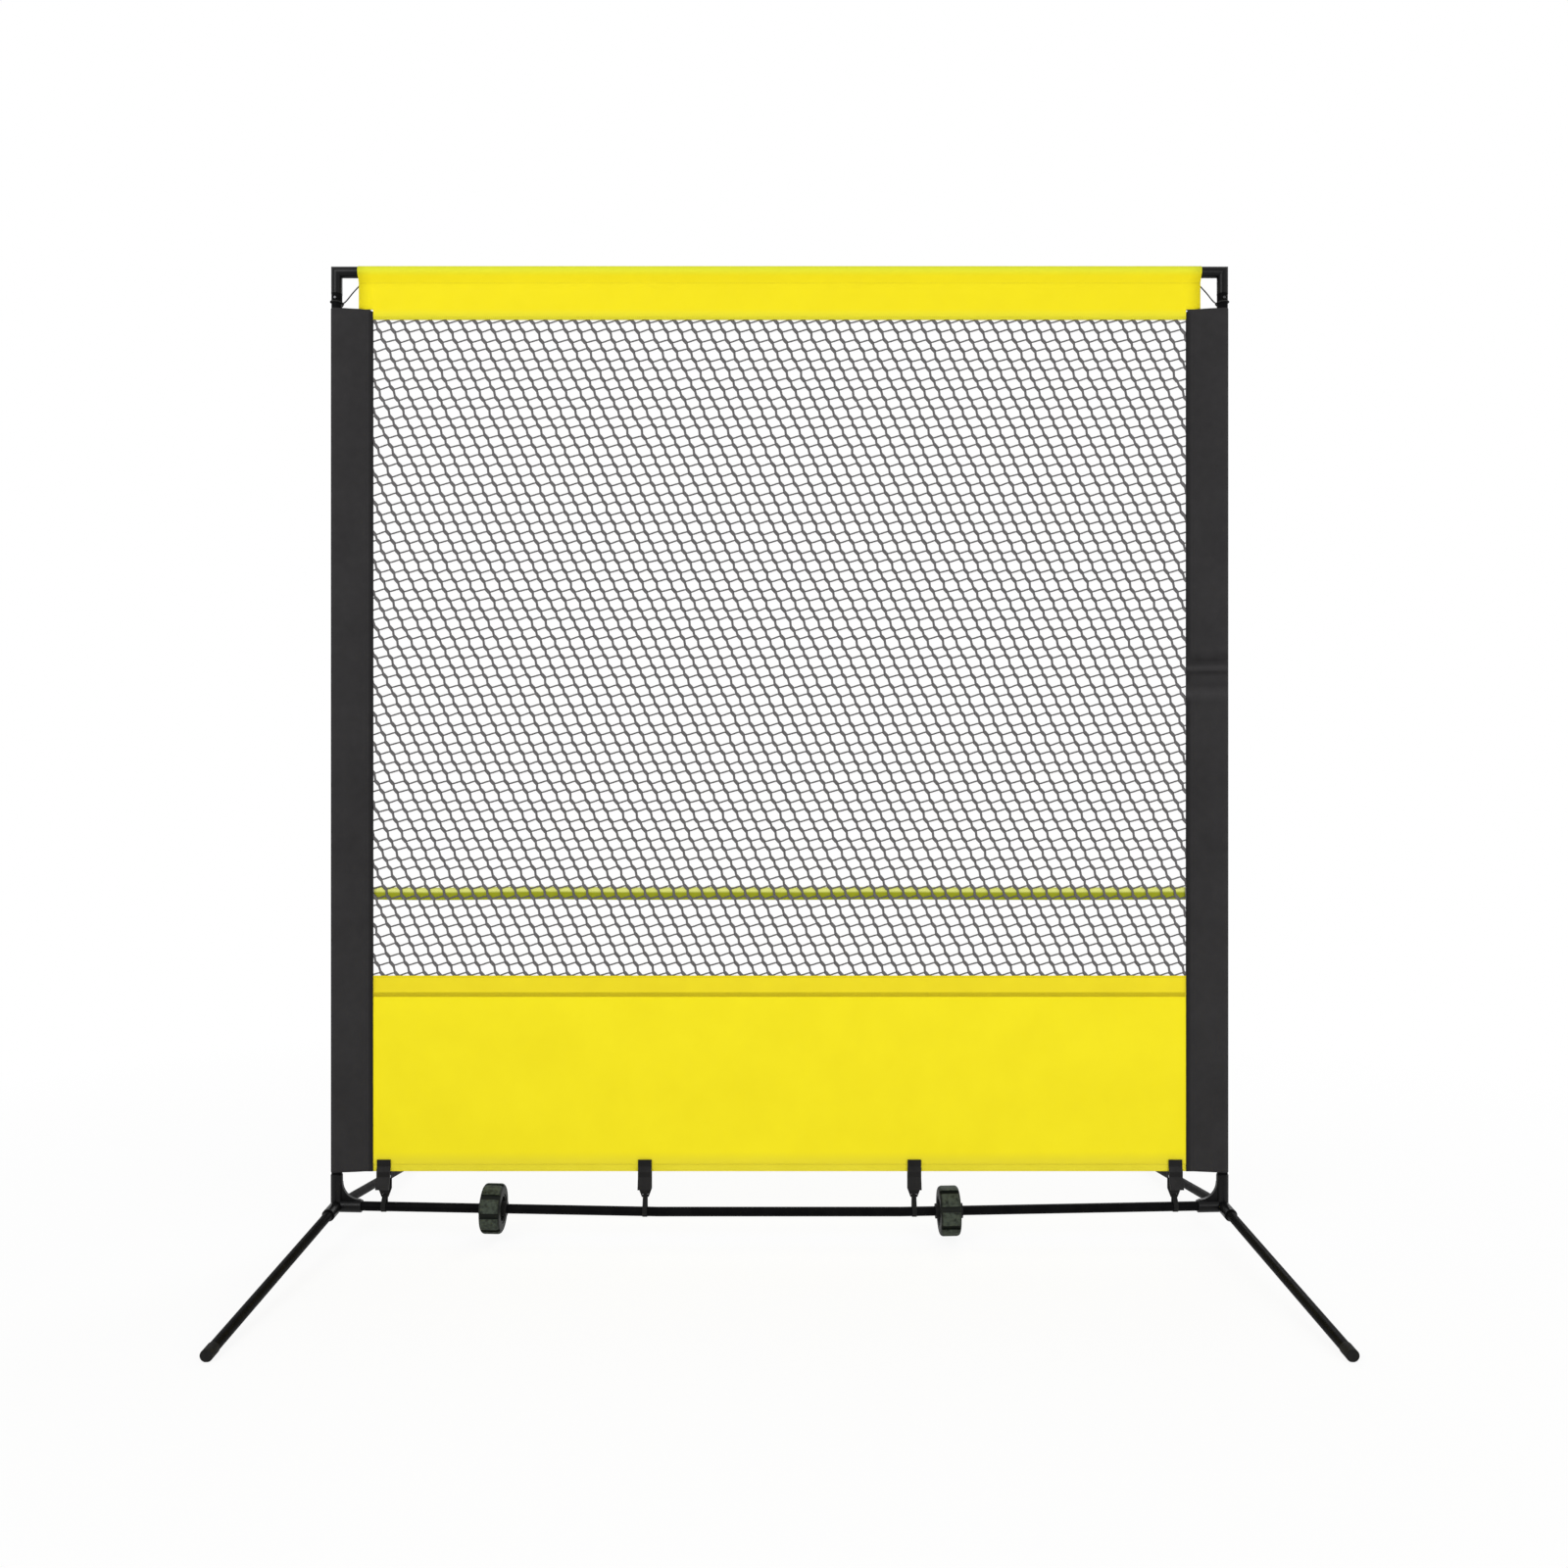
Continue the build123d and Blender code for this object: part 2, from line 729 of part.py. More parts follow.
def corner_tie(side):
    """Cord looped round the upright and sewn to the upper corner of the band."""
    radius = tie_diameter / 2
    loop_radius = upright_diameter / 2 + radius + tie_gap
    post = Pos(side * half_spacing, 0, tie_loop_height) * Torus(loop_radius, radius)
    start = Vector(side * (half_spacing - loop_radius), 0, tie_loop_height)
    end = Vector(side * (band_half_width - tie_diameter), 0, tie_anchor_height)
    stretch = rod(start, end - start, radius, (end - start).length)
    beyond_band = Pos(side * (band_half_width + tie_gap), 0, tie_anchor_height) * Box(
        upright_diameter, upright_diameter, upright_diameter * 2,
        align=(Align.MAX if side > 0 else Align.MIN, Align.CENTER, Align.CENTER),
    )
    return post + stretch - beyond_band


def main():
    os.makedirs("parts", exist_ok=True)
    for name, side in sides.items():
        save(name + "_corner_connector", corner_connector(side))
        save(name + "_lower_upright", lower_upright(side))
        save(name + "_upper_upright", upper_upright(side))
        save(name + "_top_elbow", top_elbow(side))
        save(name + "_top_bar", top_bar(side))
        save(name + "_bottom_bar", outer_bottom_bar(side))
        save(name + "_snap_button", snap_button(side))
        save(name + "_button_spring", button_spring(side))
        save(name + "_side_sleeve", side_sleeve(side))
        save(name + "_corner_tie", corner_tie(side))
        for end_name, end in ends.items():
            save(name + "_" + end_name + "_leg", leg(side, end))
            save(name + "_" + end_name + "_foot", foot(side, end))
    save("middle_bottom_bar", middle_bottom_bar())
    for name, x in wheels.items():
        save(name + "_wheel_hub", wheel_hub(x))
        save(name + "_tyre", tyre(x, tread_turns[name]))
        save(name + "_wheel_collars", group([place * collar() for place in collar_places(x)]))
    screws = [place * collar_screw() for x in wheels.values() for place in collar_places(x)]
    save("collar_screws", group(screws))
    for name, x in clips.items():
        save(name + "_clip_rear_jaw", clip_place(x) * rear_jaw())
        save(name + "_clip_front_jaw", clip_place(x) * front_jaw())
        save(name + "_clip_strap", strap(x))
    save("clip_pins", group([clip_place(x) * clip_pin() for x in clips.values()]))
    save("clip_springs", group([clip_place(x) * clip_spring() for x in clips.values()]))
    save("top_band", top_band())
    save("net", net())
    save("target_line", target_line())
    save("lower_panel", lower_panel())


main()
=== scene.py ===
import json
import math

import bpy
import numpy as np
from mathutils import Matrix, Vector


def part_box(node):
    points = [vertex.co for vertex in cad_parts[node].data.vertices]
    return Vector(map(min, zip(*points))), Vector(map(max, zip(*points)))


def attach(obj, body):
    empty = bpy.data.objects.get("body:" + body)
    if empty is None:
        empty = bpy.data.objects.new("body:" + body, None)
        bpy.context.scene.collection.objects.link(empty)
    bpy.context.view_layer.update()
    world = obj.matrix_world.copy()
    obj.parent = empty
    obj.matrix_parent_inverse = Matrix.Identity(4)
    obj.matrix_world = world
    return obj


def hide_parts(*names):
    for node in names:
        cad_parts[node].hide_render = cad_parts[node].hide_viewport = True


# A tennis rebound net, in metres, with +Z up, +X to the right and -Y towards the player.
# The tubes, mouldings and wheels come from the frame; the cloth, net, straps and ties are made here.

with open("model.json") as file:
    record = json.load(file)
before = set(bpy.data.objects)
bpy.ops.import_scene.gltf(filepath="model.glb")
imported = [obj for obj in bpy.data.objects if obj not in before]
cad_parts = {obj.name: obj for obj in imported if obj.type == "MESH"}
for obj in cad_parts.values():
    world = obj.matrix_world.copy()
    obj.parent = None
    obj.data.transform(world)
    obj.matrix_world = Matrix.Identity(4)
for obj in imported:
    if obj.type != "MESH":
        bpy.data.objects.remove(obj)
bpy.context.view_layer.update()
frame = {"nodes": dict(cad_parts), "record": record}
nodes = frame["nodes"]
scene = bpy.context.scene
sides = {"left": -1, "right": 1}
clips = ("left_outer", "left_inner", "right_inner", "right_outer")

# Camera, in the photograph's own pixels
image_width = 1600
sensor_width = 36.0
focal_pixels = 1313.4
horizon_row = 839.5
middle_column = 795.5
camera_place = (0.0, -3.06, 0.99)

# Light and floor
world_light = 0.60
# Each lamp: its name, place, width and power in watts
lamps = [
    ("key_lamp", (-2.6, -4.2, 3.6), 2.6, 92),
    ("fill_lamp", (3.2, -3.8, 2.0), 2.4, 54),
    ("rear_lamp", (1.5, 3.9, 3.4), 2.6, 72),
]
lamp_target = (0, 0, 1.1)
floor_half = 60.0
floor_drop = 0.0003
floor_tone = 0.93
# Share of plain white in the floor as the camera sees it, near the object and far from it
white_from, white_to = 1.6, 3.6
white_near, white_far = 0.9, 1.0

# Cloth and thread
cloth = 0.0009
panel_cloth = 0.0012
binding_thickness = 0.0006
sleeve_gap = 0.0002
sleeve_slack = 0.0007
band_slack = 0.0009
panel_billow = 0.0012
tape_wander = 0.0008
stitch_pitch = 0.0045
stitch_length = 0.0032
thread_radius = 0.0004
thread_rings = 4
thread_sides = 4
overlock_pitch = 0.0019
overlock_lean = 0.0016
overlock_radius = 0.0006

# Net: knotless mesh, whose strands run together in a slanting joint at each crossing
mesh_width = 0.0341
mesh_height = 0.0228
mesh_lean = 0.4737
joint_reach = (0.0050, -0.0055)
joint_radius = 0.0042
steep_radius = 0.0027
level_radius = 0.0018
strand_flatness = 0.4
# The strands are no deeper than this between two layers of cloth, and just before their edge
seam_room = 0.0006
seam_approach = 0.004
strand_unevenness = 0.0010
row_alternation = 0.0007

# Seams, hems and pockets
sleeve_seam = 0.0675
sleeve_slot = 0.0020
sleeve_corner = 0.008
band_pocket_radius = 0.0132
band_seam = 0.024
band_slot = 0.0014
fabric_gap = 0.0003
seam_allowance = 0.019
panel_top_hem = 0.050
panel_bottom_hem = 0.019
seam_height = 0.0115
tape_stand_off = 0.00125
sleeve_girth = 0.2164
# How far each row of stitches lies from its seam or edge
pocket_row = 0.002
band_edge_row = 0.006
hem_edge_row = 0.004
binding_row = 0.003
sleeve_edge_row = 0.004

# Creases in the right sleeve, each with its height, depth, slant, and width above and below
crease_range = (1.26, 1.42)
crease_ridges = [
    (1.3790, 0.0030, 0.03, 0.0200, 0.0050),
    (1.3512, 0.0024, 0.02, 0.0045, 0.0045),
    (1.2960, 0.0026, -0.03, 0.0060, 0.0300),
]
# Painted shade and painted highlights along the creases, each with its tone, height and reach
painted_crease_light_and_shade = [
    ((35, 34, 35), 1.3765, 0.024),
    ((34, 33, 34), 1.3453, 0.009),
    ((53, 52, 53), 1.3575, 0.009),
    ((41, 40, 41), 1.3150, 0.014),
    ((53, 52, 53), 1.2965, 0.020),
]

# Tyres: how far under the tread the rubber is fully dark, and fully dusty
groove_depth = 0.0035
face_depth = 0.0005

# Clips and ties
clip_plate = 0.003
strap_thickness = 0.0012
strap_top_radius = 0.00307
tie_radius = 0.0015
knot_size = 0.0014
# Each point of the tie: how far inside the upright's axis, how far behind it, and its height
tie_route = [
    (0.0555, 0.000, 0.0420),
    (0.0440, 0.0015, 0.0312),
    (0.0330, 0.0040, 0.0205),
    (0.0230, 0.0085, 0.0110),
    (0.0120, 0.0140, 0.0040),
    (0.0000, 0.0154, 0.0020),
    (-0.0110, 0.0108, 0.0012),
    (-0.0154, 0.0000, 0.0006),
    (-0.0109, -0.0109, 0.0000),
    (0.0000, -0.0154, -0.0006),
    (0.0109, -0.0109, -0.0012),
    (0.0155, 0.0000, -0.0016),
    (0.0125, 0.0115, -0.0014),
    (0.0040, 0.0175, -0.0008),
]

# Places read from the frame
upright_low, upright_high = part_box("right_upper_upright")
upright_x = (upright_low.x + upright_high.x) / 2
upright_radius = (upright_high.x - upright_low.x) / 2
bar_low, bar_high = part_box("right_top_bar")
top_bar_z = (bar_low.z + bar_high.z) / 2
sleeve_low, sleeve_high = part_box("right_side_sleeve")
sleeve_edge = sleeve_low.x
sleeve_reach = upright_x - sleeve_edge
band_low, band_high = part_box("top_band")
panel_low, panel_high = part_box("lower_panel")
net_low, net_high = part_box("net")
line_low, line_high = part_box("target_line")
tie_loop_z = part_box("left_corner_tie")[0].z + tie_radius


def colour(red, green, blue):
    """A screen colour, 0 to 255, as the linear colour that a shader takes."""
    linear = []
    for value in (red, green, blue):
        share = value / 255
        if share <= 0.04045:
            linear.append(share / 12.92)
        else:
            linear.append(((share + 0.055) / 1.055) ** 2.4)
    return (*linear, 1.0)


# Camera, light and floor


def make_camera():
    """A level camera, its picture shifted and not tilted."""
    data = bpy.data.cameras.new("camera")
    data.sensor_width = sensor_width
    data.lens = focal_pixels * sensor_width / image_width
    data.shift_y = (horizon_row - image_width / 2) / image_width
    data.shift_x = (image_width / 2 - middle_column) / image_width
    data.clip_end = 200
    camera = bpy.data.objects.new("camera", data)
    camera.location = camera_place
    camera.rotation_euler = (math.pi / 2, 0, 0)
    scene.collection.objects.link(camera)
    scene.camera = camera


def seen_ray(tree):
    """1 for rays that come from the camera, a reflection or glass, else 0."""
    path = tree.nodes.new("ShaderNodeLightPath")
    first = maths(tree, "MAXIMUM", path.outputs["Is Camera Ray"], path.outputs["Is Glossy Ray"])
    return maths(tree, "MAXIMUM", first, path.outputs["Is Transmission Ray"])


def make_world():
    """Even light all round, and plain white wherever the camera sees past the floor."""
    world = bpy.data.worlds.new("studio")
    world.use_nodes = True
    tree = world.node_tree
    soft = tree.nodes["Background"]
    soft.inputs["Color"].default_value = (1, 1, 1, 1)
    soft.inputs["Strength"].default_value = world_light
    white = add_node(tree, "Background", Color=(1, 1, 1, 1), Strength=1.0)
    mix = tree.nodes.new("ShaderNodeMixShader")
    tree.links.new(seen_ray(tree), mix.inputs[0])
    tree.links.new(soft.outputs[0], mix.inputs[1])
    tree.links.new(white.outputs[0], mix.inputs[2])
    tree.links.new(mix.outputs[0], tree.nodes["World Output"].inputs["Surface"])
    scene.world = world


def make_lamp(name, place, width, power):
    """A round area lamp aimed at the middle of the net."""
    data = bpy.data.lights.new(name, "AREA")
    data.shape = "DISK"
    data.size = width
    data.energy = power
    lamp = bpy.data.objects.new(name, data)
    lamp.location = place
    aim = Vector(lamp_target) - Vector(place)
    lamp.rotation_euler = aim.to_track_quat("-Z", "Y").to_euler()
    scene.collection.objects.link(lamp)


def make_floor():
    """A wide plane just under the feet, which keeps the object's shadow."""
    half = floor_half
    outline = ((-half, -half), (half, -half), (half, half), (-half, half))
    corners = [(x, y, -floor_drop) for x, y in outline]
    mesh = bpy.data.meshes.new("floor")
    mesh.from_pydata(corners, [], [(0, 1, 2, 3)])
    floor = bpy.data.objects.new("floor", mesh)
    scene.collection.objects.link(floor)
    mesh.materials.append(floor_material())


def floor_material():
    """Shaded white near the object, and plain white far from it."""
    material = bpy.data.materials.new("floor")
    material.use_nodes = True
    tree = material.node_tree
    shader = tree.nodes["Principled BSDF"]
    shader.inputs["Base Color"].default_value = (floor_tone, floor_tone, floor_tone, 1)
    shader.inputs["Roughness"].default_value = 0.9
    shader.inputs["Specular IOR Level"].default_value = 0.0
    glow = add_node(tree, "Emission", Color=(1, 1, 1, 1), Strength=1.0)
    mix = tree.nodes.new("ShaderNodeMixShader")
    east, north, _ = split(tree, object_place(tree))
    out = distance_from_axis(tree, east, north)
    share = spread(tree, out, white_from, white_to, white_near, white_far)
    tree.links.new(maths(tree, "MULTIPLY", seen_ray(tree), share), mix.inputs[0])
    tree.links.new(shader.outputs[0], mix.inputs[1])
    tree.links.new(glow.outputs[0], mix.inputs[2])
    tree.links.new(mix.outputs[0], tree.nodes["Material Output"].inputs["Surface"])
    return material


# Shader building blocks


def add_node(tree, kind, **inputs):
    """A shader node with its inputs set to numbers, colours or other nodes' outputs."""
    node = tree.nodes.new("ShaderNode" + kind)
    for name, value in inputs.items():
        socket = node.inputs[name.replace("_", " ")]
        if isinstance(value, bpy.types.NodeSocket):
            tree.links.new(value, socket)
        else:
            socket.default_value = value
    return node


def maths(tree, operation, first, second=0.0):
    node = tree.nodes.new("ShaderNodeMath")
    node.operation = operation
    for socket, value in zip(node.inputs, (first, second)):
        if isinstance(value, bpy.types.NodeSocket):
            tree.links.new(value, socket)
        else:
            socket.default_value = value
    return node.outputs[0]


def object_place(tree):
    return tree.nodes.new("ShaderNodeTexCoord").outputs["Object"]


def cloth_place(tree):
    """Distance along the cloth and across it, in metres, kept on the mesh."""
    node = tree.nodes.new("ShaderNodeAttribute")
    node.attribute_name = "cloth_place"
    return node.outputs["Vector"]


def split(tree, vector):
    node = add_node(tree, "SeparateXYZ", Vector=vector)
    return node.outputs[0], node.outputs[1], node.outputs[2]


def grain(tree, place, size, detail=3.0):
    """Noise whose patches are about size metres across."""
    node = add_node(tree, "TexNoise", Vector=place, Scale=1 / size, Detail=detail)
    return node.outputs[0]


def spread(tree, value, low, high, new_low=0.0, new_high=1.0):
    """The value mapped from low and high to the new ones, and held at both ends."""
    node = add_node(tree, "MapRange", Value=value)
    node.inputs["From Min"].default_value = low
    node.inputs["From Max"].default_value = high
    node.inputs["To Min"].default_value = new_low
    node.inputs["To Max"].default_value = new_high
    return node.outputs[0]


def blend_colours(tree, share, first, second):
    node = tree.nodes.new("ShaderNodeMix")
    node.data_type = "RGBA"
    tree.links.new(share, node.inputs[0])
    for socket, value in ((node.inputs[6], first), (node.inputs[7], second)):
        if isinstance(value, bpy.types.NodeSocket):
            tree.links.new(value, socket)
        else:
            socket.default_value = value
    return node.outputs[2]


def weave(tree, place, thread):
    """Height of a plain weave: one rounded bump at each crossing of two threads."""
    along, across, _ = split(tree, place)
    rate = math.pi / thread
    warp = maths(tree, "SINE", maths(tree, "MULTIPLY", along, rate))
    weft = maths(tree, "SINE", maths(tree, "MULTIPLY", across, rate))
    return maths(tree, "ABSOLUTE", maths(tree, "MULTIPLY", warp, weft))


def distance_from_axis(tree, first, second):
    """How far a place is from the axis that both its parts are measured from."""
    squares = maths(tree, "MULTIPLY", first, first)
    squares = maths(tree, "ADD", squares, maths(tree, "MULTIPLY", second, second))
    return maths(tree, "SQRT", squares)


def raise_surface(tree, shader, height, distance, strength=1.0):
    bump = add_node(tree, "Bump", Height=height, Distance=distance, Strength=strength)
    tree.links.new(bump.outputs[0], shader.inputs["Normal"])


def new_material(name, metallic=0.0, specular=0.5, sheen=0.0):
    material = bpy.data.materials.new(name)
    material.use_nodes = True
    shader = material.node_tree.nodes["Principled BSDF"]
    shader.inputs["Metallic"].default_value = metallic
    shader.inputs["Specular IOR Level"].default_value = specular
    shader.inputs["Sheen Weight"].default_value = sheen
    return material, material.node_tree, shader


def hard_material(name, dark, light, rough, grain_size, relief, metallic=0.0, specular=0.5):
    """Paint, plastic, rubber or metal: uneven tone and gloss, and a fine surface grain."""
    material, tree, shader = new_material(name, metallic, specular)
    place = object_place(tree)
    patches = spread(tree, grain(tree, place, 0.04), 0.3, 0.7)
    tree.links.new(blend_colours(tree, patches, dark, light), shader.inputs["Base Color"])
    smears = grain(tree, place, 0.012, 5.0)
    tree.links.new(spread(tree, smears, 0.3, 0.7, *rough), shader.inputs["Roughness"])
    raise_surface(tree, shader, grain(tree, place, grain_size, 2.0), relief)
    return material


def tyre_material(name, axis_z, radius):
    """Rubber that is dusty on the faces of its lugs and dark in the grooves."""
    material, tree, shader = new_material(name, specular=0.14)
    place = object_place(tree)
    _, y, z = split(tree, place)
    out = distance_from_axis(tree, y, maths(tree, "SUBTRACT", z, axis_z))
    worn = spread(tree, out, radius - groove_depth, radius - face_depth)
    dusty = maths(tree, "MULTIPLY", worn, spread(tree, grain(tree, place, 0.009), 0.25, 0.6))
    tone = blend_colours(tree, dusty, colour(13, 17, 12), colour(66, 73, 64))
    tree.links.new(tone, shader.inputs["Base Color"])
    tree.links.new(spread(tree, dusty, 0.0, 1.0, 0.55, 0.8), shader.inputs["Roughness"])
    raise_surface(tree, shader, grain(tree, place, 0.0012, 2.0), 0.0001)
    return material


def cloth_material(name, dark, light, thread, relief, rough, edges=(), fold_light_and_shade=()):
    """Woven cloth: threads at their real size, slightly uneven dye and a faint sheen."""
    material, tree, shader = new_material(name, specular=0.12, sheen=0.02)
    place = cloth_place(tree)
    patches = spread(tree, grain(tree, place, 0.12), 0.3, 0.7)
    threads = weave(tree, place, thread)
    tone = blend_colours(tree, patches, dark, light)
    shaded = blend_colours(tree, spread(tree, threads, 0.0, 0.3), dark, tone)
    for edge_colour, axis, clear, full in edges:
        if axis == "along":
            distance = split(tree, place)[0]
        else:
            distance = split(tree, object_place(tree))[2]
        shaded = blend_colours(tree, spread(tree, distance, clear, full), shaded, edge_colour)
    # Painted shade and painted highlights in bands at given heights, as along creases
    for painted_fold_tone, height, reach in fold_light_and_shade:
        up = split(tree, object_place(tree))[2]
        distance = maths(tree, "ABSOLUTE", maths(tree, "SUBTRACT", up, height))
        shaded = blend_colours(tree, spread(tree, distance, reach, 0.0), shaded, painted_fold_tone)
    tree.links.new(shaded, shader.inputs["Base Color"])
    smears = grain(tree, place, 0.02)
    tree.links.new(spread(tree, smears, 0.3, 0.7, *rough), shader.inputs["Roughness"])
    raise_surface(tree, shader, threads, relief)
    return material


def line_material():
    """Tape that is pale yellow above, with painted shade in olive along its lower edge."""
    material, tree, shader = new_material("line_cloth", specular=0.12, sheen=0.02)
    place = cloth_place(tree)
    across, _, _ = split(tree, place)
    # Painted shade: the tape's lower edge olive, as if lit from above
    lower = spread(tree, across, 0.009, 0.014)
    tone = blend_colours(tree, lower, colour(240, 243, 142), colour(150, 156, 26))
    threads = weave(tree, place, 0.0008)
    shaded = blend_colours(tree, spread(tree, threads, 0.0, 0.3), colour(150, 153, 34), tone)
    tree.links.new(shaded, shader.inputs["Base Color"])
    smears = grain(tree, place, 0.02)
    tree.links.new(spread(tree, smears, 0.3, 0.7, 0.6, 0.8), shader.inputs["Roughness"])
    raise_surface(tree, shader, threads, 0.00015)
    return material


def cord_material(name, dark, light, lay):
    """Twisted or braided cord, with its lay as slanting ridges."""
    material, tree, shader = new_material(name, specular=0.12, sheen=0.03)
    place = object_place(tree)
    wave = add_node(tree, "TexWave", Vector=place, Scale=math.tau / (20 * lay), Distortion=1.0)
    wave.bands_direction = "DIAGONAL"
    ridge = wave.outputs["Fac"]
    worn = spread(tree, grain(tree, place, 0.03), 0.3, 0.7, 0.6, 1.0)
    patches = maths(tree, "MULTIPLY", ridge, worn)
    tree.links.new(blend_colours(tree, patches, dark, light), shader.inputs["Base Color"])
    smears = grain(tree, place, 0.005)
    tree.links.new(spread(tree, smears, 0.3, 0.7, 0.6, 0.85), shader.inputs["Roughness"])
    raise_surface(tree, shader, ridge, lay / 6)
    return material


# Mesh building blocks


def piece(name, points, faces, material, smooth=True):
    """A named mesh that rides on the frame."""
    mesh = bpy.data.meshes.new(name)
    mesh.from_pydata(points.tolist(), [], faces.tolist())
    mesh.polygons.foreach_set("use_smooth", [smooth] * len(mesh.polygons))
    mesh.materials.append(material)
    mesh.update()
    thing = bpy.data.objects.new(name, mesh)
    scene.collection.objects.link(thing)
    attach(thing, "frame")
    return thing


def unit(vectors):
    return vectors / np.linalg.norm(vectors, axis=-1, keepdims=True)


def lengths_along(grid, axis):
    """Distance along a grid of points from its first row or column."""
    steps = np.linalg.norm(np.diff(grid, axis=axis), axis=-1)
    start = np.zeros_like(np.take(steps, [0], axis=axis))
    return np.concatenate([start, np.cumsum(steps, axis=axis)], axis=axis)


def slopes(grid, axis, loop):
    """Direction of a grid's lines at each point."""
    if loop:
        return np.roll(grid, -1, axis) - np.roll(grid, 1, axis)
    return np.gradient(grid, axis=axis)


def grid_faces(rows, columns, first, loop):
    """Quads over a grid of points, the rows joined end to end if it is a loop."""
    row = np.arange(rows if loop else rows - 1)[:, None]
    column = np.arange(columns - 1)[None, :]
    here = row * columns + column
    below = (row + 1) % rows * columns + column
    return first + np.stack([here, here + 1, below + 1, below], -1).reshape(-1, 4)


def sheet(name, grid, thickness, material, loop=False):
    """Cloth of even thickness about a grid of centre points, closed at its edges."""
    rows, columns = grid.shape[:2]
    normal = unit(np.cross(slopes(grid, 1, False), slopes(grid, 0, loop)))
    half = normal * thickness / 2
    count = rows * columns
    points = np.concatenate([(grid + half).reshape(-1, 3), (grid - half).reshape(-1, 3)])
    front = grid_faces(rows, columns, 0, loop)
    back = grid_faces(rows, columns, count, loop)[:, ::-1]
    faces = [front, back]
    row = np.arange(rows if loop else rows - 1)
    for column, turn in ((0, 1), (columns - 1, -1)):
        here = row * columns + column
        below = (row + 1) % rows * columns + column
        faces.append(np.stack([here, below, below + count, here + count], -1)[:, ::turn])
    if not loop:
        column = np.arange(columns - 1)
        for start, turn in ((0, -1), ((rows - 1) * columns, 1)):
            here = start + column
            faces.append(np.stack([here, here + 1, here + 1 + count, here + count], -1)[:, ::turn])
    thing = piece(name, points, np.concatenate(faces), material)
    level = np.zeros((rows, columns))
    place = np.stack([lengths_along(grid, 1), lengths_along(grid, 0), level], -1)
    attribute = thing.data.attributes.new("cloth_place", "FLOAT_VECTOR", "POINT")
    attribute.data.foreach_set("vector", np.concatenate([place, place]).astype(np.float32).ravel())
    return thing


def ripple(first, second, wavelength, seed):
    """Smooth uneven waves over two distances in metres, mostly within -1 to 1."""
    waves = 7
    random = np.random.default_rng(seed)
    total = np.zeros(np.broadcast(first, second).shape)
    for _ in range(waves):
        angle = random.uniform(0, math.tau)
        rate = math.tau / (wavelength * random.uniform(0.6, 1.6))
        phase = random.uniform(0, math.tau)
        total += np.sin(rate * (math.cos(angle) * first + math.sin(angle) * second) + phase)
    return total / math.sqrt(waves)


def tapered(value, low, high, margin):
    """1 well inside low to high, and 0 at both ends."""
    share = np.clip(np.minimum(value - low, high - value) / margin, 0, 1)
    return share * share * (3 - 2 * share)


def line_points(start, end, count):
    share = np.linspace(0, 1, count)[:, None]
    return np.array(start) * (1 - share) + np.array(end) * share


def arc_points(radius, start, end, count):
    angle = np.linspace(start, end, count)
    return np.stack([radius * np.cos(angle), radius * np.sin(angle)], -1)


def pocket_path(radius, layer, seam, reach):
    """Centre line of cloth folded round a tube: rear edge, round the tube, front edge."""
    across = math.hypot(seam, layer)
    tangent = math.atan2(layer, seam) + math.acos(radius / across)
    touch = radius * np.array([math.cos(tangent), math.sin(tangent)])
    flap = line_points((reach, layer), (seam, layer), 6)
    web = line_points((seam, layer), touch, 14)
    turn = arc_points(radius, tangent, math.tau - tangent, 26)
    rear = np.concatenate([flap, web[1:], turn[1:]])
    front_touch = touch * (1, -1)
    web = line_points(front_touch, (seam, -layer), 14)
    flap = line_points((seam, -layer), (reach, -layer), 6)
    return np.concatenate([rear, web[1:], flap[1:]])


def stitches(name, seams, material):
    """Raised stitches along straight seams, each a start, an end and the way out of the cloth."""
    stations = np.array([-0.5, -0.32, 0.32, 0.5])
    swell = np.array([0.35, 1.0, 1.0, 0.35])
    angle = np.arange(thread_sides) * math.tau / thread_sides
    parts = []
    for start, end, outward in seams:
        start, end, outward = np.array(start), np.array(end), np.array(outward, float)
        run = end - start
        length = np.linalg.norm(run)
        direction = run / length
        sideways = np.cross(direction, outward)
        along = np.arange(stitch_pitch / 2, length, stitch_pitch)
        centres = start + along[:, None] * direction
        ring = np.cos(angle)[:, None] * sideways + np.sin(angle)[:, None] * outward
        rings = stations[:, None, None] * stitch_length * direction
        rings = rings + swell[:, None, None] * thread_radius * ring
        parts.append(centres[:, None, None, :] + rings)
    return threads_piece(name, np.concatenate(parts), material)


def overlock(name, x_range, z, depth, material):
    """A seam closed by a dense row of slanting threads, on the front and the back of the cloth."""
    x = np.arange(x_range[0] + overlock_pitch, x_range[1] - overlock_pitch, overlock_pitch)
    angle = np.arange(thread_sides) * math.tau / thread_sides
    ring = np.stack([np.cos(angle), np.sin(angle), np.zeros(thread_sides)], -1) * overlock_radius
    stations = np.array([-0.5, -0.3, 0.3, 0.5])
    swell = np.array([0.2, 1.0, 1.0, 0.2])
    along = stations[:, None] * np.array([overlock_lean, 0, seam_height])
    rings = along[:, None] + swell[:, None, None] * ring
    parts = []
    for out in (-1, 1):
        middle = np.stack([x, np.full(len(x), out * depth), np.full(len(x), z)], -1)
        parts.append(middle[:, None, None] + rings)
    return threads_piece(name, np.concatenate(parts), material)


def threads_piece(name, threads, material):
    """One piece from many short threads, each four rings of four points, closed at both ends."""
    faces = []
    for ring in range(thread_rings - 1):
        near = ring * thread_sides
        far = near + thread_sides
        for side in range(thread_sides):
            beside = (side + 1) % thread_sides
            faces.append((near + side, near + beside, far + beside, far + side))
    faces += [(3, 2, 1, 0), (12, 13, 14, 15)]
    starts = np.arange(len(threads))[:, None, None] * thread_rings * thread_sides
    return piece(name, threads.reshape(-1, 3), (starts + np.array(faces)).reshape(-1, 4), material)


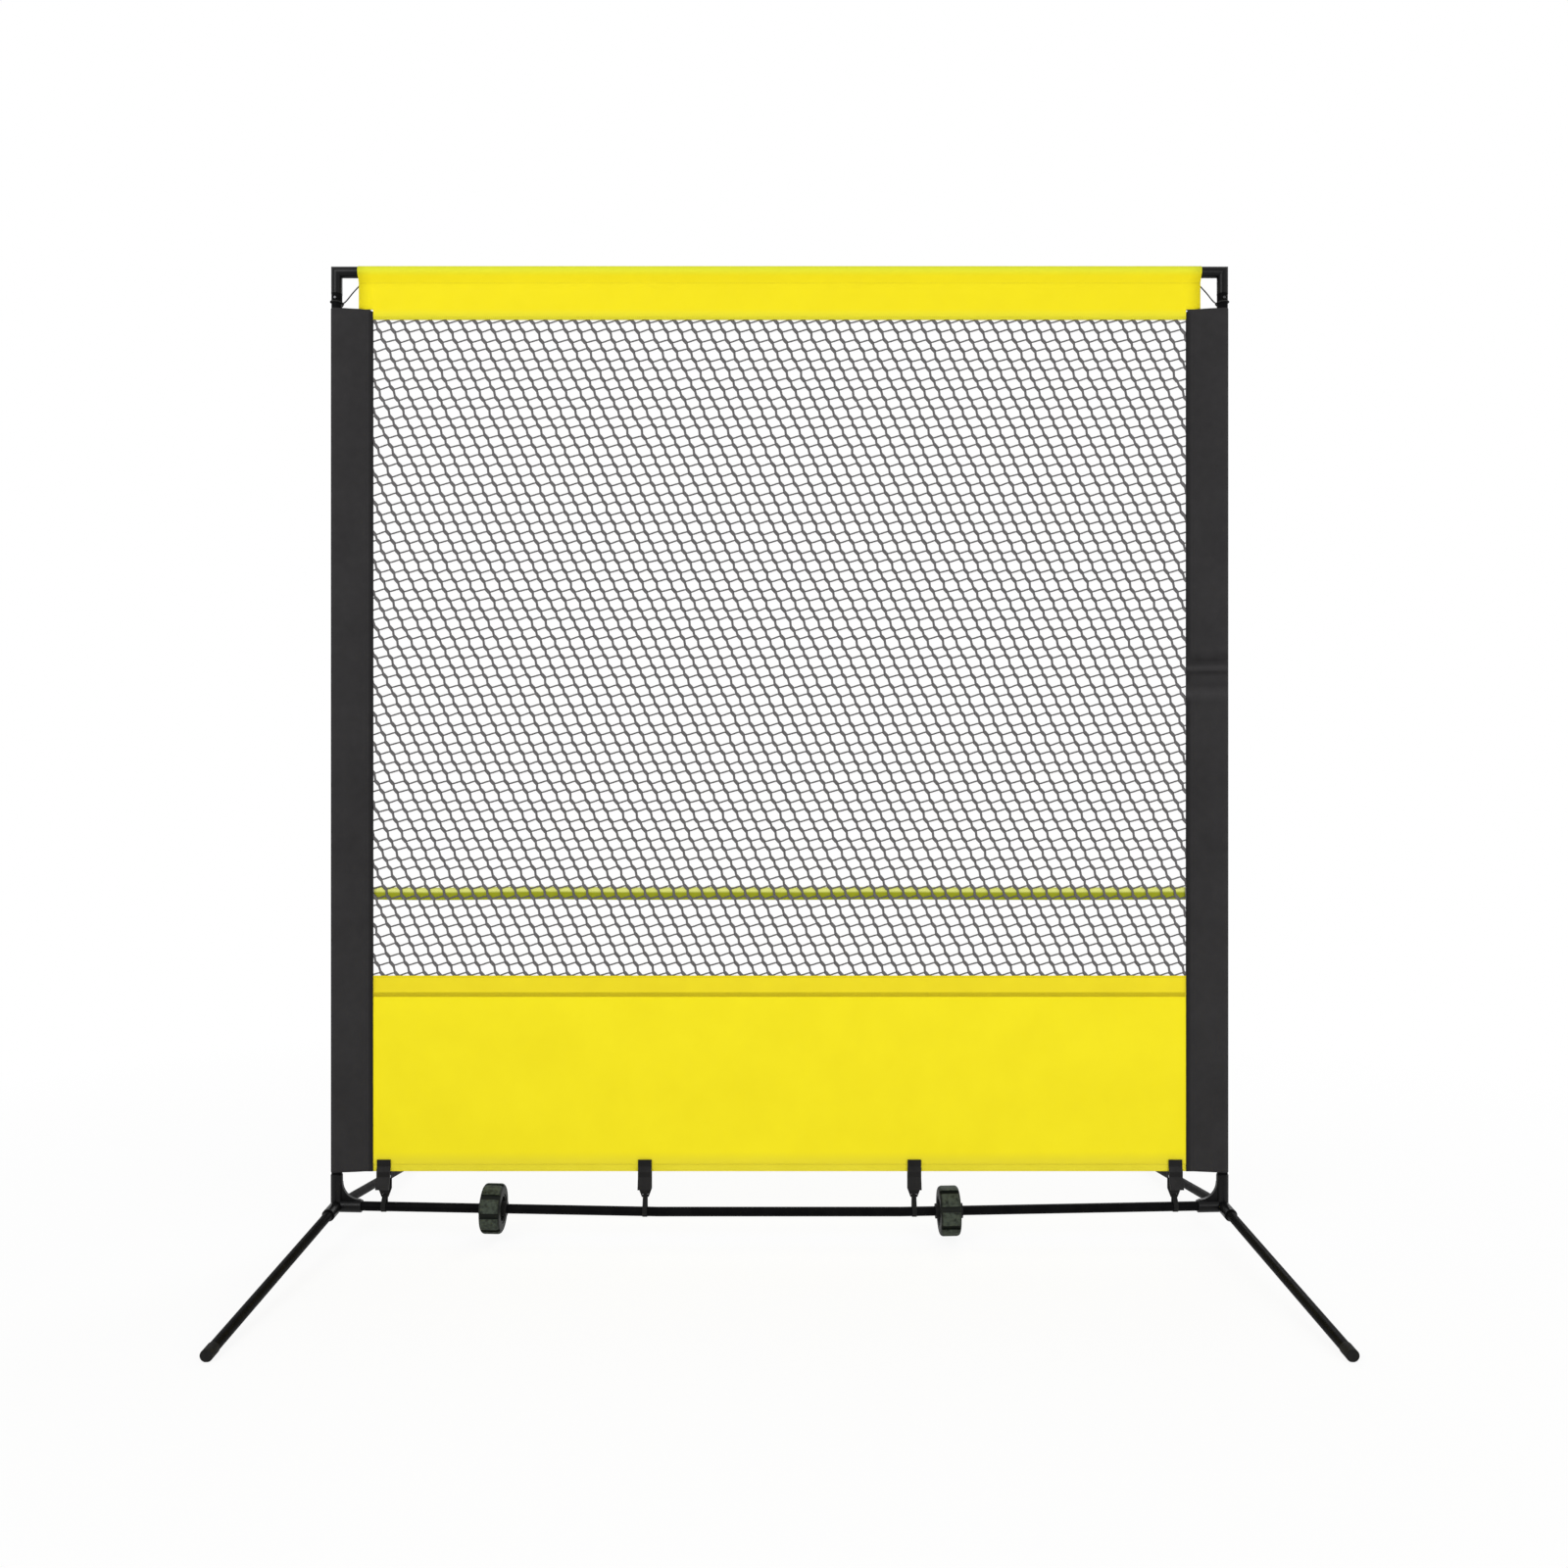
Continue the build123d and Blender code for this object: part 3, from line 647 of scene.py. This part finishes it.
def seam_pair(x_range, z_range, depth):
    """The same seam on the front and the back of the cloth."""
    (x0, x1), (z0, z1) = x_range, z_range
    return [((x0, y, z0), (x1, y, z1), (0, math.copysign(1, y), 0)) for y in (-depth, depth)]


# Fabric pieces


def side_sleeve(side_name, side):
    """Black sleeve: a pocket round the upright, sewn flat out to the net's edge."""
    radius = upright_radius + sleeve_gap + cloth / 2
    layer = sleeve_slot / 2 + cloth / 2
    path = pocket_path(radius, layer, sleeve_seam, sleeve_reach)
    z = np.linspace(sleeve_low.z, sleeve_high.z, 320)
    if side > 0:
        z = np.unique(np.concatenate([z, np.linspace(*crease_range, 110)]))
    grid = np.empty((len(z), len(path), 3))
    out = np.broadcast_to(path[:, 0], (len(z), len(path))).copy()
    above = np.clip((z - (sleeve_high.z - sleeve_corner)) / sleeve_corner, 0, 1)
    pull_in = sleeve_corner * (1 - np.sqrt(1 - above**2))
    flap_share = np.clip((out - sleeve_seam) / (sleeve_reach - sleeve_seam), 0, 1)
    out -= pull_in[:, None] * flap_share
    web = tapered(out, radius, sleeve_seam, margin=0.018)
    slack = sleeve_slack * (1 + ripple(out * 2.5, z[:, None], wavelength=0.16, seed=11 + side)) * web
    if side > 0:
        slack = slack + creases(out, z[:, None]) * tapered(out, radius * 0.2, sleeve_seam, margin=0.01)
    grid[..., 0] = side * (upright_x - out)
    grid[..., 1] = path[:, 1] + np.sign(path[:, 1]) * slack
    grid[..., 2] = z[:, None]
    material = creased_cloth if side > 0 else black_cloth
    thing = sheet(side_name + "_side_sleeve_cloth", grid, cloth, material)
    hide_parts(side_name + "_side_sleeve")


def creases(out, z):
    """Ridges in the right sleeve where the tube's joint shows through it."""
    total = 0.0
    for height, depth, tilt, above, below in crease_ridges:
        distance = z - height - tilt * out
        total = total + depth * np.exp(-((distance / np.where(distance > 0, above, below)) ** 2))
    return total


def top_band():
    """Yellow band over the top bar, its lower edges sewn to the net's top edge."""
    radius = band_pocket_radius + cloth / 2
    layer = band_slot / 2 + cloth / 2
    reach = top_bar_z - band_low.z
    path = pocket_path(radius, layer, band_seam, reach)
    flap = path[:, 0] > band_seam
    notch_reach = top_bar_z - (sleeve_high.z + fabric_gap)
    notch_x = sleeve_edge - fabric_gap
    step = 0.0002
    inner = np.linspace(-notch_x, notch_x, 200)
    x = np.concatenate([[-band_high.x, -notch_x - step], inner, [notch_x + step, band_high.x]])
    drop = np.broadcast_to(path[:, 0], (len(x), len(path))).copy()
    end = np.abs(x) > notch_x
    shrink = (notch_reach - band_seam) / (reach - band_seam)
    drop[np.ix_(end, flap)] = band_seam + (path[flap, 0] - band_seam) * shrink
    grid = np.empty((len(x), len(path), 3))
    billow = tapered(drop, band_seam, reach, margin=0.03)
    billow = billow * tapered(x[:, None], -notch_x, notch_x, margin=0.05)
    slack = band_slack * (1 + ripple(drop * 2, x[:, None], wavelength=0.22, seed=5)) * billow
    grid[..., 0] = x[:, None]
    grid[..., 1] = path[:, 1] + np.sign(path[:, 1]) * slack
    grid[..., 2] = top_bar_z - drop
    thing = sheet("top_band_cloth", grid, cloth, band_cloth)
    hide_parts("top_band")


def lower_panel():
    """Yellow panel: one cloth, a doubled hem that holds the net, and a bound bottom edge."""
    x = np.linspace(panel_low.x, panel_high.x, 200)
    z = np.linspace(panel_low.z + binding_thickness, panel_high.z - seam_allowance, 60)
    grid = np.empty((len(x), len(z), 3))
    free = tapered(x[:, None], -sleeve_edge, sleeve_edge, margin=0.06)
    free = free * tapered(z, z[0] + 0.02, z[-1] - 0.03, margin=0.05)
    grid[..., 0] = x[:, None]
    grid[..., 1] = panel_billow * ripple(x[:, None], z * 1.4, wavelength=0.4, seed=3) * free
    grid[..., 2] = z
    body = sheet("lower_panel_cloth", grid, panel_cloth, panel_material)
    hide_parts("lower_panel")
    hem_x = np.linspace(-sleeve_edge + fabric_gap, sleeve_edge - fabric_gap, 180)
    for name, direction in (("front", -1), ("rear", 1)):
        folded_hem(name, direction, hem_x)
    bottom_binding(hem_x)


def folded_hem(name, direction, x):
    """One layer of the hem at the panel's top edge."""
    depth = band_slot / 2 + cloth / 2
    z = np.linspace(panel_high.z - panel_top_hem, panel_high.z, 9)
    grid = np.empty((len(x), len(z), 3))
    grid[..., 0] = x[:, None]
    grid[..., 1] = direction * depth
    grid[..., 2] = z
    hem = sheet("panel_" + name + "_hem", grid, cloth, hem_cloth)


def bottom_binding(x):
    """Narrow binding folded round the panel's bottom edge."""
    depth = panel_cloth / 2 + binding_thickness / 2
    low = panel_low.z + binding_thickness / 2 + depth
    top = panel_low.z + panel_bottom_hem
    front = line_points((-depth, top), (-depth, low), 5)
    turn = arc_points(depth, math.pi, math.tau, 7) + (0, low)
    rear = line_points((depth, low), (depth, top), 5)
    path = np.concatenate([front, turn[1:-1], rear])
    grid = np.empty((len(x), len(path), 3))
    grid[..., 0] = x[:, None]
    grid[..., 1] = path[:, 0]
    grid[..., 2] = path[:, 1]
    binding = sheet("panel_bottom_hem", grid, binding_thickness, binding_cloth)


def target_line():
    """Tape sewn to the back of the net at net height."""
    x = np.linspace(line_low.x, line_high.x, 200)
    z = np.linspace(line_high.z, line_low.z, 7)
    grid = np.empty((len(x), len(z), 3))
    wander = tape_wander * ripple(x[:, None], 0.0, wavelength=0.5, seed=21)
    wander = wander * tapered(x[:, None], x[0], x[-1], margin=0.05)
    grid[..., 0] = x[:, None]
    grid[..., 1] = (line_low.y + line_high.y) / 2 + tape_stand_off
    grid[..., 2] = z + wander
    tape = sheet("target_line_tape", grid, line_high.y - line_low.y, line_cloth)
    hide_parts("target_line")


# Net strands


def net_crossings():
    """Crossing points of the net, rows by columns, on a slanting lattice with slight unevenness."""
    first_row = net_high.z + mesh_height
    rows = int((first_row - net_low.z) / mesh_height) + 2
    row_z = first_row - np.arange(rows) * mesh_height
    lean = mesh_lean * (row_z[0] - row_z)
    first = -math.ceil(lean[-1] / mesh_width) - 2
    columns = np.arange(first, int(2 * net_high.x / mesh_width) + 3)
    x = net_low.x + columns[None, :] * mesh_width + lean[:, None]
    z = np.repeat(row_z[:, None], len(columns), 1)
    alternate = np.where(np.arange(rows) % 2, row_alternation, -row_alternation)[:, None]
    uneven_x = strand_unevenness * ripple(x, z, wavelength=0.06, seed=31)
    uneven_z = alternate + 0.7 * strand_unevenness * ripple(x, z, wavelength=0.05, seed=37)
    return np.stack([x + uneven_x, np.zeros_like(x), z + uneven_z], -1)


def mesh_strand(crossings, stations):
    """Points and radii of a strand that passes from joint to joint.

    A station in a joint is a share of its reach from the crossing. One in the link to the next
    joint is a share of the way across it.
    """
    reach = np.array([joint_reach[0], 0, joint_reach[1]])
    here, there = crossings[:-1], crossings[1:]
    points, radii = [], []
    for kind, share, radius in stations:
        if kind == "joint":
            points.append(here + share * reach)
        else:
            start, end = here + 0.8 * reach, there - 0.8 * reach
            points.append(start + share * (end - start))
        radii.append(np.full(len(here), radius))
    return np.stack(points, 1).reshape(-1, 3), np.stack(radii, 1).ravel()


def cut_to_net(points, radii):
    """The part of a strand within the net's edges, ended on them."""
    low = np.array([net_low.x, -1.0, net_low.z])
    high = np.array([net_high.x, 1.0, net_high.z])
    inside = np.flatnonzero(((points > low) & (points < high)).all(1))
    if len(inside) < 2:
        return None
    first, last = inside[0], inside[-1]
    cut = points[first:last + 1].copy()
    for end, beyond in ((0, first - 1), (-1, last + 1)):
        if 0 <= beyond < len(points):
            step = points[beyond] - cut[end]
            limit = np.where(step > 0, high, low)
            shares = np.divide(limit - cut[end], step, out=np.ones(3), where=step != 0)
            cut[end] = cut[end] + min(1.0, shares.min()) * step
    return cut, radii[first:last + 1]


def in_seam(points):
    """Where the net lies between two layers of the band, the hem or a sleeve."""
    side_limit = abs(sleeve_edge) - seam_approach
    return (
        (np.abs(points[:, 0]) > side_limit)
        | (points[:, 2] > band_low.z - seam_approach)
        | (points[:, 2] < panel_high.z + seam_approach)
    )


def strand(points, radii, strand_sides):
    """A flattened tube along points in the net's plane: its rings, and its faces with closed ends."""
    tangent = unit(np.gradient(points, axis=0))
    flat = np.stack([-tangent[:, 2], np.zeros(len(points)), tangent[:, 0]], -1)
    angle = np.arange(strand_sides) * math.tau / strand_sides
    depth = strand_flatness * radii
    depth = np.where(in_seam(points), np.minimum(depth, seam_room), depth)
    outward = np.array([0.0, 1.0, 0.0])
    ring = np.cos(angle)[None, :, None] * (radii[:, None] * flat)[:, None, :]
    ring = ring + np.sin(angle)[None, :, None] * (depth[:, None] * outward)[:, None, :]
    rings = points[:, None, :] + ring
    row = np.arange(len(points) - 1)[:, None] * strand_sides
    here = np.arange(strand_sides)[None, :]
    there = (here + 1) % strand_sides
    above = row + strand_sides
    faces = np.stack([row + here, row + there, above + there, above + here], -1)
    last = (len(points) - 1) * strand_sides
    cap = np.array([(0, k, k + 1, k + 2) for k in range(1, strand_sides - 2, 2)])
    return rings.reshape(-1, 3), np.concatenate([faces.reshape(-1, 4), cap[:, ::-1], last + cap])


def net_strands(name, lines, stations, strand_sides):
    """One piece from all the strands that run the same way."""
    every_point, every_face, count = [], [], 0
    for crossings in lines:
        kept = cut_to_net(*mesh_strand(crossings, stations))
        if kept is None:
            continue
        rings, faces = strand(*kept, strand_sides)
        every_point.append(rings)
        every_face.append(faces + count)
        count += len(rings)
    points, faces = np.concatenate(every_point), np.concatenate(every_face)
    return piece(name, points, faces, net_cord)


def net():
    """Stout steep strands, finer level ones, and a wide joint at each crossing."""
    crossings = net_crossings()
    steep = [
        ("joint", -0.65, joint_radius),
        ("joint", 0.65, joint_radius),
        ("link", 0.2, steep_radius),
        ("link", 0.8, steep_radius),
    ]
    level = [
        ("joint", -0.7, level_radius),
        ("joint", 0.7, level_radius),
        ("link", 0.33, level_radius),
        ("link", 0.67, level_radius),
    ]
    strands = net_strands("net_steep_strands", crossings.transpose(1, 0, 2), steep, 6)
    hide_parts("net")
    net_strands("net_level_strands", crossings, level, 4)


# Straps and ties


def hull(points):
    """The convex outline round points in a plane, in order."""
    points = sorted(map(tuple, points))
    outline = []
    for ordered in (points, points[::-1]):
        chain = []
        for p in ordered:
            while len(chain) > 1 and turn_of(chain[-2], chain[-1], p) <= 0:
                chain.pop()
            chain.append(p)
        outline += chain[:-1]
    return np.array(outline)


def turn_of(first, middle, last):
    """Above 0 where a path through three points turns left."""
    (x0, z0), (x1, z1), (x2, z2) = first, middle, last
    return (x1 - x0) * (z2 - z0) - (z1 - z0) * (x2 - x0)


def even_loop(outline, count):
    """Evenly spaced points round a closed outline."""
    closed = np.concatenate([outline, outline[:1]])
    far = np.concatenate([[0], np.cumsum(np.linalg.norm(np.diff(closed, axis=0), axis=1))])
    at = np.linspace(0, far[-1], count, endpoint=False)
    return np.stack([np.interp(at, far, closed[:, k]) for k in (0, 1)], -1)


def clip_strap(clip):
    """Elastic webbing looped through the clip's tail and round the bottom bar."""
    low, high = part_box(clip + "_clip_strap")
    jaw_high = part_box(clip + "_clip_rear_jaw")[1]
    half = strap_thickness / 2
    lower_radius = (high.y - low.y) / 2 - half
    upper_radius = strap_top_radius + half
    lower_centre = ((low.y + high.y) / 2, low.z + half + lower_radius)
    upper_centre = (jaw_high.y - clip_plate / 2, high.z - half - upper_radius)
    circles = [
        arc_points(radius, 0, math.tau, 60) + centre
        for radius, centre in ((lower_radius, lower_centre), (upper_radius, upper_centre))
    ]
    loop = even_loop(hull(np.concatenate(circles)), 72)
    width = high.x - low.x
    x = (low.x + high.x) / 2 + width * np.array([-0.5, -0.47, -0.25, 0, 0.25, 0.47, 0.5])
    grid = np.empty((len(loop), len(x), 3))
    grid[..., 0] = x
    grid[..., 1] = loop[:, None, 0]
    grid[..., 2] = loop[:, None, 1]
    name = clip + "_strap_webbing"
    strap = sheet(name, grid, strap_thickness, webbing, loop=True)
    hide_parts(clip + "_clip_strap")


def corner_tie(side_name, side):
    """Cord from the band's corner once round the upright, tied back on itself behind it."""
    curve = bpy.data.curves.new(side_name + "_tie_cord", "CURVE")
    curve.dimensions = "3D"
    spline = curve.splines.new("NURBS")
    points = [(side * (upright_x - inward), y, tie_loop_z + rise) for inward, y, rise in tie_route]
    spline.points.add(len(points) - 1)
    for control, place in zip(spline.points, points):
        control.co = (*place, 1)
    spline.order_u = 3
    spline.use_endpoint_u = True
    spline.resolution_u = 12
    curve.bevel_depth = tie_radius
    curve.bevel_resolution = 3
    curve.use_fill_caps = True
    curve.materials.append(tie_cord)
    tie = bpy.data.objects.new(side_name + "_tie_cord", curve)
    scene.collection.objects.link(tie)
    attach(tie, "frame")
    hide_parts(side_name + "_corner_tie")
    knot = tie_knot(side_name, points[-1])


def tie_knot(side_name, place):
    """Small overhand knot that ends the tie."""
    angle = np.linspace(0, math.tau, 48, endpoint=False)
    x = knot_size * (np.sin(angle) + 2 * np.sin(2 * angle))
    y = knot_size * 0.9 * np.sin(3 * angle)
    z = knot_size * (np.cos(angle) - 2 * np.cos(2 * angle))
    centres = np.stack([x, y, z], -1) + np.array(place)
    tangent = unit(np.roll(centres, -1, 0) - np.roll(centres, 1, 0))
    first = unit(np.cross(tangent, np.array([0.0, 1.0, 0.2])))
    second = np.cross(tangent, first)
    around = np.linspace(0, math.tau, 9)[:, None]
    ring = np.cos(around) * first[:, None] + np.sin(around) * second[:, None]
    grid = centres[:, None] + tie_radius * ring
    faces = grid_faces(len(centres), len(around), 0, True)
    return piece(side_name + "_tie_knot", grid.reshape(-1, 3), faces, tie_cord)


# Materials, each with its dark and its light tone
tube_paint = hard_material(
    "tube_paint", colour(7, 7, 8), colour(14, 14, 15),
    rough=(0.42, 0.55), grain_size=0.0012, relief=0.00003, specular=0.025,
)
corner_moulding = hard_material(
    "corner_moulding", colour(8, 8, 9), colour(16, 16, 17),
    rough=(0.26, 0.38), grain_size=0.0008, relief=0.00002, specular=0.14,
)
clip_moulding = hard_material(
    "clip_moulding", colour(12, 11, 11), colour(21, 20, 20),
    rough=(0.4, 0.52), grain_size=0.0006, relief=0.00004, specular=0.16,
)
collar_moulding = hard_material(
    "collar_moulding", colour(14, 14, 14), colour(24, 24, 24),
    rough=(0.45, 0.6), grain_size=0.0006, relief=0.00003, specular=0.16,
)
wheel_moulding = hard_material(
    "wheel_moulding", colour(14, 15, 14), colour(24, 25, 24),
    rough=(0.42, 0.58), grain_size=0.0006, relief=0.00003, specular=0.16,
)
foot_rubber = hard_material(
    "foot_rubber", colour(13, 13, 13), colour(27, 27, 26),
    rough=(0.62, 0.82), grain_size=0.0009, relief=0.00005, specular=0.14,
)
zinc_steel = hard_material(
    "zinc_steel", colour(150, 151, 153), colour(186, 187, 189),
    rough=(0.28, 0.45), grain_size=0.0005, relief=0.00001, metallic=1.0,
)
dark_steel = hard_material(
    "dark_steel", colour(58, 58, 60), colour(84, 84, 86),
    rough=(0.3, 0.42), grain_size=0.0005, relief=0.00001, metallic=1.0,
)
# Cloth that changes tone towards an edge: the tone, the direction, where it begins and is full
# On the band: painted shade along the top, where the cloth turns over the bar, and a darker tone
# towards its lower edge
band_shade_and_edge_tone = [
    (colour(222, 224, 50), "up", band_high.z - 0.026, band_high.z - 0.012),
    (colour(231, 221, 48), "up", band_low.z + 0.026, band_low.z + 0.008),
]
panel_edges = [(colour(232, 217, 46), "up", panel_low.z + 0.046, panel_low.z + 0.024)]
sleeve_edges = [
    (colour(30, 29, 30), "along", 0.013, 0.005),
    (colour(30, 29, 30), "along", sleeve_girth - 0.013, sleeve_girth - 0.005),
]
band_cloth = cloth_material(
    "band_cloth", colour(239, 221, 23), colour(243, 226, 24),
    thread=0.0007, relief=0.0001, rough=(0.6, 0.75), edges=band_shade_and_edge_tone,
)
panel_material = cloth_material(
    "panel_cloth", colour(243, 226, 27), colour(248, 232, 30),
    thread=0.0007, relief=0.0001, rough=(0.6, 0.75), edges=panel_edges,
)
hem_cloth = cloth_material(
    "hem_cloth", colour(234, 214, 33), colour(241, 222, 36),
    thread=0.0007, relief=0.0001, rough=(0.6, 0.75),
)
binding_cloth = cloth_material(
    "binding_cloth", colour(226, 212, 46), colour(234, 220, 54),
    thread=0.0006, relief=0.0001, rough=(0.6, 0.75),
)
black_cloth = cloth_material(
    "black_cloth", colour(42, 41, 42), colour(49, 48, 49),
    thread=0.0006, relief=0.0001, rough=(0.65, 0.8), edges=sleeve_edges,
)
# The right sleeve's cloth, with painted shade and painted highlights along its creases
creased_cloth = cloth_material(
    "creased_cloth", colour(42, 41, 42), colour(49, 48, 49),
    thread=0.0006, relief=0.0001, rough=(0.65, 0.8), edges=sleeve_edges,
    fold_light_and_shade=[(colour(*tone), height, reach) for tone, height, reach in painted_crease_light_and_shade],
)
webbing = cloth_material(
    "webbing", colour(18, 18, 18), colour(30, 30, 30),
    thread=0.0009, relief=0.0002, rough=(0.6, 0.8),
)
line_cloth = line_material()
net_cord = cord_material("net_cord", colour(82, 80, 81), colour(122, 120, 121), lay=0.0011)
tie_cord = cord_material("tie_cord", colour(24, 24, 24), colour(50, 50, 49), lay=0.0010)
yellow_thread = cord_material("yellow_thread", colour(176, 158, 16), colour(214, 196, 30), lay=0.0006)
seam_thread = cord_material("seam_thread", colour(178, 162, 12), colour(202, 187, 18), lay=0.0006)
black_thread = cord_material("black_thread", colour(24, 24, 24), colour(60, 60, 60), lay=0.0006)

# The finish of each CAD node that stays, by its slot
finishes = {
    "black_tube": tube_paint,
    "corner_plastic": corner_moulding,
    "bright_steel": dark_steel,
    "spring_steel": zinc_steel,
    "wheel_plastic": wheel_moulding,
    "collar_plastic": collar_moulding,
    "clip_plastic": clip_moulding,
    "foot_rubber": foot_rubber,
}


def dress_frame():
    """Every CAD node that stays gets the material of its slot."""
    for part in frame["record"]["subparts"]:
        node = nodes[part["node"]]
        finish = finishes.get(part["material_slot"])
        if part["material_slot"] == "tyre_rubber":
            low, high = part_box(part["node"])
            axis_z, radius = (low.z + high.z) / 2, (high.y - low.y) / 2
            finish = tyre_material(part["node"] + "_rubber", axis_z, radius)
        if finish:
            node.data.materials.clear()
            node.data.materials.append(finish)


def sew():
    """All the visible stitching."""
    edge = sleeve_edge - fabric_gap
    wide = (-edge, edge)
    depth = band_slot / 2 + cloth
    height = top_bar_z - band_seam - pocket_row
    yellow = seam_pair((-band_high.x, band_high.x), (height, height), depth)
    height = band_low.z + band_edge_row
    yellow += seam_pair(wide, (height, height), depth)
    height = panel_high.z - hem_edge_row
    yellow += seam_pair(wide, (height, height), depth)
    height = panel_high.z - panel_top_hem + seam_height / 2
    overlock("panel_hem_seam", wide, height, depth, seam_thread)
    height = panel_low.z + panel_bottom_hem - binding_row
    yellow += seam_pair(wide, (height, height), panel_cloth / 2 + binding_thickness)
    stitches("yellow_stitching", yellow, yellow_thread)
    black = []
    sleeve_depth = sleeve_slot / 2 + cloth
    for side in sides.values():
        for reach in (sleeve_seam + pocket_row, sleeve_reach - sleeve_edge_row):
            x = side * (upright_x - reach)
            ends = (sleeve_low.z + pocket_row, sleeve_high.z - sleeve_corner)
            black += seam_pair((x, x), ends, sleeve_depth)
    stitches("sleeve_stitching", black, black_thread)


make_camera()
for side_name, side in sides.items():
    corner_tie(side_name, side)
make_world()
for name, place, width, power in lamps:
    make_lamp(name, place, width, power)
make_floor()
dress_frame()
for side_name, side in sides.items():
    side_sleeve(side_name, side)
top_band()
net()
target_line()
lower_panel()
for clip in clips:
    clip_strap(clip)
sew()

scene.view_settings.view_transform = "Standard"
